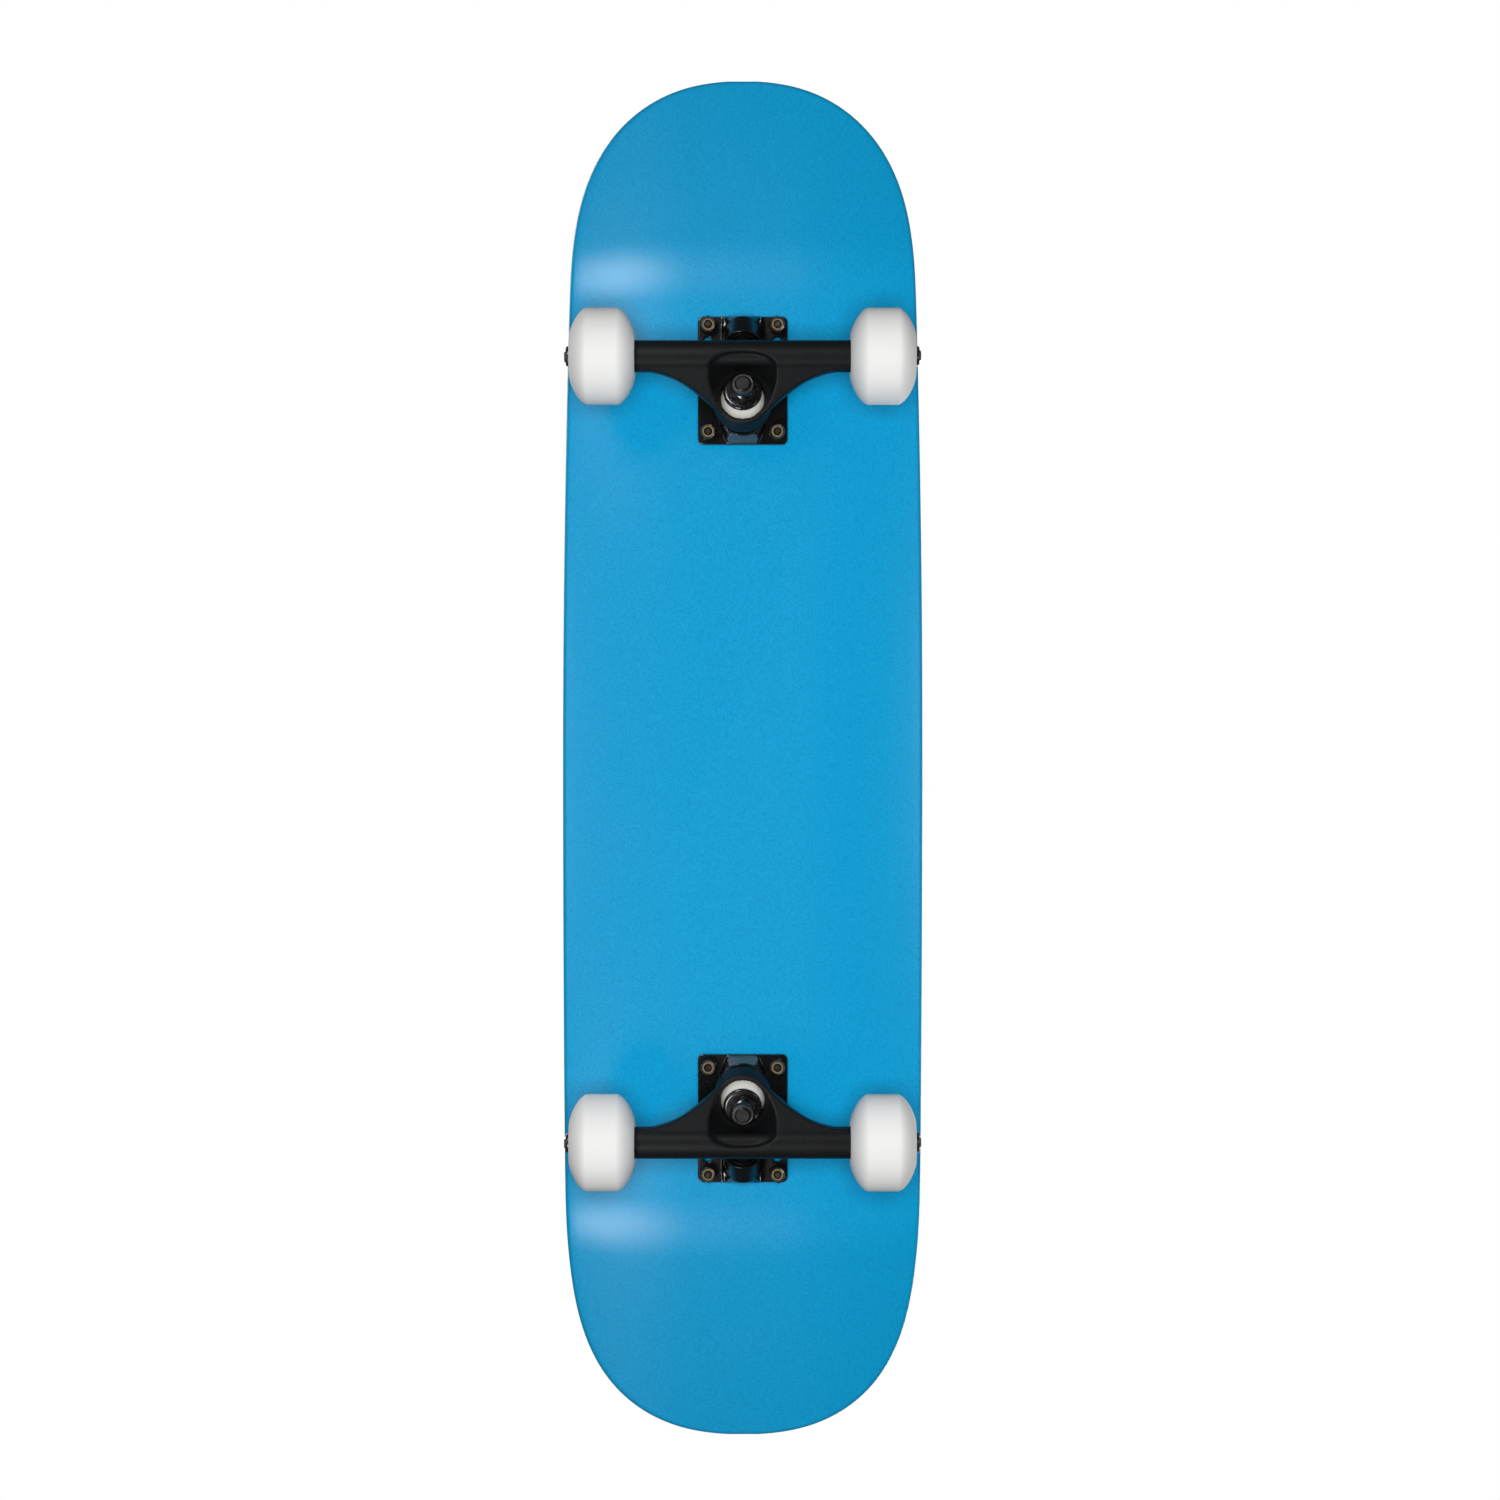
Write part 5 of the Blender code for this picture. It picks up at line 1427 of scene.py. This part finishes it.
class SKATE_OT_bolts(bpy.types.Operator):
    """Drive the eight bolts through the deck and run on their locknuts"""

    bl_idname = "skate.bolts"
    bl_label = "Bolts and locknuts"

    def execute(self, context):
        bolt = socket_bolt_mesh()
        hole = BOLT_RADIUS + 0.05 * MM
        nut = nut_parts(LOCKNUT_FLATS, LOCKNUT_HEIGHT, BOLT_RADIUS + GAP, "locknut")
        collar = collar_mesh(LOCKNUT_FLATS, LOCKNUT_HEIGHT, hole)
        black, nylon = material_named("black_oxide_steel"), material_named("amber_nylon")
        for count, (name, x, y) in enumerate(bolt_places()):
            turn = Matrix.Rotation(math.radians(17 + 47 * count), 4, "Z")
            spot = Matrix.Translation((x, y, DECK_UNDERSIDE)) @ turn
            put(f"{name}_steel", bolt, spot, "board", black, [name])
            nut_name = name.replace("bolt", "locknut")
            spot = Matrix.Translation((x, y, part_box(nut_name)[1].z)) @ turn
            put(f"{nut_name}_steel", nut, spot, "board", black, [nut_name])
            put(f"{nut_name}_collar", collar, spot, "board", nylon)
        return {"FINISHED"}


# -------------------------------------------------------------------------------------- wheels

SPEED_RING = 1 * MM
INNER_RING_RADIUS = 6.1 * MM
SPACER_RADIUS = 5.2 * MM
SHIELD_HOLE = 6.9 * MM
BEARING_LAND = 9.5 * MM
WHEEL_SIDE_FOOT = 8 * MM


def wheel_frame(end, hand):
    """From a wheel's own frame, its outer face at +Z, to its place on the axle."""
    turn = Matrix.Rotation(-math.pi / 2 if hand == "left" else math.pi / 2, 4, "X")
    return Matrix.Translation(middle(f"{end}_{hand}_wheel")) @ turn


def wheel_mesh(wheel, radius):
    """Wheel with full rounded sides, a crisp tread and a seat for a bearing on each side."""

    def fullness(at):
        way = (at - WHEEL_SIDE_FOOT) / (radius - WHEEL_SIDE_FOOT)
        return (1 - way**wheel.side_round) ** (1 / wheel.side_round)

    tread, mouth = wheel.tread / 2, wheel.mouth_radius
    side = (wheel.width / 2 - tread) / fullness(mouth)
    seat = wheel.bearing_radius + GAP
    deep = wheel.spacer_length / 2 + wheel.bearing_width + GAP
    shoulder = wheel.spacer_length / 2 - GAP
    curve = []
    for i in range(21):
        at = radius - (radius - mouth - 0.5 * MM) * (i / 20) ** 1.7
        curve.append((at, tread + side * fullness(at)))
    lip = curve[-1][1]
    inside = [
        (mouth - 0.2 * MM, lip + 0.15 * MM),
        (mouth - 0.7 * MM, lip - 0.5 * MM),
        (mouth - 1.0 * MM, lip - 2.2 * MM),
        (seat + 0.6 * MM, deep + 0.5 * MM),
        (seat, deep),
        (seat, shoulder),
        (seat - 2.2 * MM, shoulder),
    ]
    half = [(radius, tread * i / 4) for i in range(4)] + curve + inside
    profile = half + [(r, -y) for r, y in reversed(half[1:])]
    return to_mesh(turned(profile, WHEEL_STEPS), "wheel")


class SKATE_OT_wheels(bpy.types.Operator):
    """Pour the four wheels"""

    bl_idname = "skate.wheels"
    bl_label = "Wheels"

    def execute(self, context):
        low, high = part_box("rear_left_wheel")
        mesh = wheel_mesh(context.scene.skate_wheel, (high.z - low.z) / 2)
        skin = material_named("white_urethane")
        turns = {"rear_left": 205, "rear_right": 262, "front_left": 25, "front_right": 82}
        for end in ENDS:
            for hand in HANDS:
                name = f"{end}_{hand}_wheel"
                spin = Matrix.Rotation(math.radians(turns[f"{end}_{hand}"]), 4, "Z")
                spot = wheel_frame(end, hand) @ spin
                put(f"{name}_pour", mesh, spot, name, skin, [name])
        return {"FINISHED"}


class SKATE_OT_bearings(bpy.types.Operator):
    """Fit a ring and two shields for each bearing, and the clamped stack inside them"""

    bl_idname = "skate.bearings"
    bl_label = "Bearings and spacers"

    def execute(self, context):
        wheel, truck = context.scene.skate_wheel, context.scene.skate_truck
        outer, half = wheel.bearing_radius, wheel.bearing_width / 2
        ring = [(BEARING_LAND + 0.25 * MM, 0), (BEARING_LAND + 0.25 * MM, half), (outer, half)]
        ring += [(outer, -half), (BEARING_LAND + 0.25 * MM, -half), (BEARING_LAND + 0.25 * MM, 0)]
        ring_mesh = to_mesh(turned(filleted(ring, 0.35 * MM)[:-1], FINE_STEPS), "ring")
        face = half - 0.25 * MM
        shield = [
            (SHIELD_HOLE, face - 0.3 * MM),
            (SHIELD_HOLE, face),
            (SHIELD_HOLE + 0.5 * MM, face + 0.05 * MM),
            (BEARING_LAND - 0.9 * MM, face + 0.05 * MM),
            (BEARING_LAND - 0.6 * MM, face - 0.25 * MM),
            (BEARING_LAND, face - 0.25 * MM),
            (BEARING_LAND + 0.2 * MM, face),
            (BEARING_LAND + 0.2 * MM, face - 0.6 * MM),
            (BEARING_LAND - 0.6 * MM, face - 0.6 * MM),
        ]
        shield += [(SHIELD_HOLE + 0.4 * MM, face - 0.35 * MM)]
        shield_mesh = to_mesh(turned(shield, FINE_STEPS), "shield")
        bore, stack_half = truck.axle_radius + GAP, wheel.spacer_length / 2 + 2 * half + SPEED_RING
        bearing_end = wheel.spacer_length / 2 + 2 * half
        side = [
            (bore, 0),
            (bore, stack_half),
            (INNER_RING_RADIUS + 0.9 * MM, stack_half),
            (INNER_RING_RADIUS + 0.9 * MM, bearing_end + 0.12 * MM),
            (INNER_RING_RADIUS, bearing_end),
            (INNER_RING_RADIUS, wheel.spacer_length / 2),
            (SPACER_RADIUS, wheel.spacer_length / 2),
            (SPACER_RADIUS, 0),
        ]
        upper = filleted(side, 0.25 * MM)
        stack = to_mesh(turned(upper + [(r, -y) for r, y in reversed(upper[1:-1])], FINE_STEPS), "stack")
        shift = (wheel.spacer_length + wheel.bearing_width) / 2
        steel, tin = material_named("bearing_steel"), material_named("pressed_shield")
        for end in ENDS:
            for hand in HANDS:
                corner, place = f"{end}_{hand}", wheel_frame(end, hand)
                for side_name, way in (("outer", 1), ("inner", -1)):
                    node_name = f"{corner}_{side_name}_bearing"
                    spot = place @ Matrix.Translation((0, 0, way * shift))
                    body = f"{corner}_wheel"
                    put(f"{node_name}_ring", ring_mesh, spot, body, steel, [node_name])
                    for face_name, flip in (("outward", 0), ("inward", math.pi)):
                        turn = Matrix.Rotation(flip + (0 if way > 0 else math.pi), 4, "X")
                        name = f"{node_name}_{face_name}_shield"
                        put(name, shield_mesh, spot @ turn, body, tin)
                node_name = f"{corner}_spacer_stack"
                zinc = material_named("bright_zinc")
                put(f"{node_name}_rings", stack, place, f"{end}_hanger", zinc, [node_name])
        return {"FINISHED"}


class SKATE_OT_axle_nuts(bpy.types.Operator):
    """Run on the four axle nuts"""

    bl_idname = "skate.axle_nuts"
    bl_label = "Axle nuts"

    def execute(self, context):
        truck = context.scene.skate_truck
        nut = nut_parts(AXLE_NUT_FLATS, AXLE_NUT_HEIGHT, truck.axle_radius + GAP, "axle_nut")
        collar = collar_mesh(AXLE_NUT_FLATS, AXLE_NUT_HEIGHT, truck.axle_radius + 0.05 * MM)
        black, nylon = material_named("black_oxide_steel"), material_named("black_nylon")
        for end in ENDS:
            for hand in HANDS:
                name = f"{end}_{hand}_axle_nut"
                low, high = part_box(name)
                face = low.y if hand == "left" else high.y
                spot = wheel_frame(end, hand)
                reach = abs(face - spot.translation.y)
                flip = Matrix.Rotation(math.pi, 4, "X") @ Matrix.Rotation(0.4, 4, "Z")
                spot = spot @ Matrix.Translation((0, 0, reach)) @ flip
                put(f"{name}_steel", nut, spot, f"{end}_hanger", black, [name])
                put(f"{name}_collar", collar, spot, f"{end}_hanger", nylon)
        return {"FINISHED"}


# --------------------------------------------------------------------------------------- stage


def add_light(name, place, aim, size, power, color=(1, 1, 1)):
    light = bpy.data.lights.new(name, "AREA")
    light.shape = "RECTANGLE"
    light.size, light.size_y = size
    light.energy = power
    light.color = color
    thing = add_object(name, light)
    thing.location = place
    way = Vector(aim) - Vector(place)
    thing.rotation_mode = "QUATERNION"
    thing.rotation_quaternion = way.to_track_quat("-Z", "Y")
    thing.visible_camera = False
    return thing


def floor_material(color):
    """Pale paper that only shows from above, so the board can be seen from below through it."""
    material, tree, shader = start_material("pale_paper")
    place = object_place(tree)
    fibre = noise(tree, place, 260.0, 3.0)
    darker = tuple(c * 0.975 for c in color)
    base = blend_color(tree, fibre, rgba(color), rgba(darker))
    feed(tree, shader, Base_Color=base, Roughness=remap(tree, fibre, 0, 1, 0.7, 0.85))
    bump(tree, shader, fibre, 0.0001, 0.2)
    clear = node(tree, "BsdfTransparent").outputs[0]
    behind = node(tree, "NewGeometry").outputs["Backfacing"]
    seen = node(tree, "LightPath").outputs["Is Camera Ray"]
    solid = calc(tree, "MULTIPLY", seen, calc(tree, "SUBTRACT", 1.0, behind))
    both = node(tree, "MixShader", {0: solid, 1: clear, 2: shader.outputs[0]})
    tree.links.new(both.outputs[0], tree.nodes["Material Output"].inputs["Surface"])
    return material


def studio_world():
    """White to the camera, softer to everything that it lights, and dim in reflections."""
    world = bpy.data.worlds.new("studio")
    bpy.context.scene.world = world
    world.use_nodes = True
    tree = world.node_tree
    rays = node(tree, "LightPath").outputs
    glow = remap(tree, rays["Is Glossy Ray"], 0, 1, 0.18, 0.05)
    strength = node(tree, "Mix", {0: rays["Is Camera Ray"], 2: glow, 3: 1.0}).outputs[0]
    sky = tree.nodes["Background"]
    sky.inputs["Color"].default_value = (1, 1, 1, 1)
    tree.links.new(strength, sky.inputs["Strength"])


class SKATE_OT_stage(bpy.types.Operator):
    """Lay the pale floor and set the camera and the soft lights"""

    bl_idname = "skate.stage"
    bl_label = "Stage"

    def execute(self, context):
        stage = context.scene.skate_stage
        shape = bmesh.new()
        bmesh.ops.create_grid(shape, x_segments=4, y_segments=4, size=4.0)
        floor = add_object("studio_floor", to_mesh(shape, "studio_floor"))
        floor.data.materials.append(floor_material(stage.floor))
        studio_world()

        aim = Vector((stage.aim_x, stage.aim_y, DECK_UNDERSIDE))
        camera = bpy.data.cameras.new("camera")
        camera.sensor_width = 36
        camera.lens = camera.sensor_width * stage.distance / stage.frame_width
        camera.clip_start, camera.clip_end = 0.1, 30
        view = add_object("camera", camera)
        view.location = aim - Vector((0, 0, stage.distance))
        # Looks straight up, with the tail at the top of the picture
        view.rotation_mode = "QUATERNION"
        view.rotation_quaternion = Matrix(((0, -1, 0), (-1, 0, 0), (0, 0, -1))).to_quaternion()
        context.scene.camera = view
        context.scene.view_settings.view_transform = "Standard"

        # Soft light from beside the camera, which leaves no highlight of its own
        below = add_light("key_below", (0.0, 0.0, -1.75), (0, 0, 0.08), (0.7, 0.7), stage.key)
        below.visible_glossy = False
        # Highlights only: on the deck's two bends, and along the trucks
        for name, x in (("tail_side", -0.82), ("nose_side", 0.82)):
            spot, aim_at = (x, 0.52, -1.0), (x * 0.35, 0.05, 0.08)
            side = add_light(f"{name}_below", spot, aim_at, (0.45, 0.45), stage.side)
            side.visible_diffuse = False
        for name, y, x in (("rear_sheen", -0.75, -0.25), ("front_sheen", 0.75, 0.25)):
            skim = add_light(f"{name}_below", (0, y, -0.6), (x, 0, 0.03), (0.3, 0.3), stage.sheen)
            skim.visible_diffuse = False
        add_light("top_above", (0.5, -0.9, 1.6), (0, 0, 0.05), (1.2, 1.2), stage.top)
        add_light("fill_above", (-0.7, 1.0, 1.2), (0, 0, 0.05), (1.0, 1.0), stage.top * 0.45)
        return {"FINISHED"}


class SKATE_OT_finishes(bpy.types.Operator):
    """Mix the paints, coats, metals and urethanes"""

    bl_idname = "skate.finishes"
    bl_label = "Finishes"

    def execute(self, context):
        make_materials(context.scene)
        return {"FINISHED"}


STEPS = (
    SKATE_OT_finishes,
    SKATE_OT_deck,
    SKATE_OT_grip,
    SKATE_OT_baseplates,
    SKATE_OT_kingpins,
    SKATE_OT_bushings,
    SKATE_OT_hangers,
    SKATE_OT_bolts,
    SKATE_OT_wheels,
    SKATE_OT_bearings,
    SKATE_OT_axle_nuts,
    SKATE_OT_stage,
)
SETTINGS = {
    "skate_deck": DeckSettings,
    "skate_truck": TruckSettings,
    "skate_wheel": WheelSettings,
    "skate_stage": StageSettings,
}


class SKATE_PT_panel(bpy.types.Panel):
    """Every step of the build, and the sizes and colours that it uses"""

    bl_label = "Skateboard"
    bl_idname = "SKATE_PT_panel"
    bl_space_type = "VIEW_3D"
    bl_region_type = "UI"
    bl_category = "Skateboard"

    def draw(self, context):
        for step in STEPS:
            self.layout.operator(step.bl_idname)
        for name, group in SETTINGS.items():
            box = self.layout.box()
            box.label(text=group.__doc__)
            for key in group.__annotations__:
                box.prop(getattr(context.scene, name), key)


def register():
    for group in (*SETTINGS.values(), *STEPS, SKATE_PT_panel):
        bpy.utils.register_class(group)
    for name, group in SETTINGS.items():
        setattr(bpy.types.Scene, name, PointerProperty(type=group))


def unregister():
    for name in SETTINGS:
        delattr(bpy.types.Scene, name)
    for group in reversed((*SETTINGS.values(), *STEPS, SKATE_PT_panel)):
        bpy.utils.unregister_class(group)


def main():
    register()
    for step in STEPS:
        family, name = step.bl_idname.split(".")
        getattr(getattr(bpy.ops, family), name)()


if __name__ == "__main__":
    main()
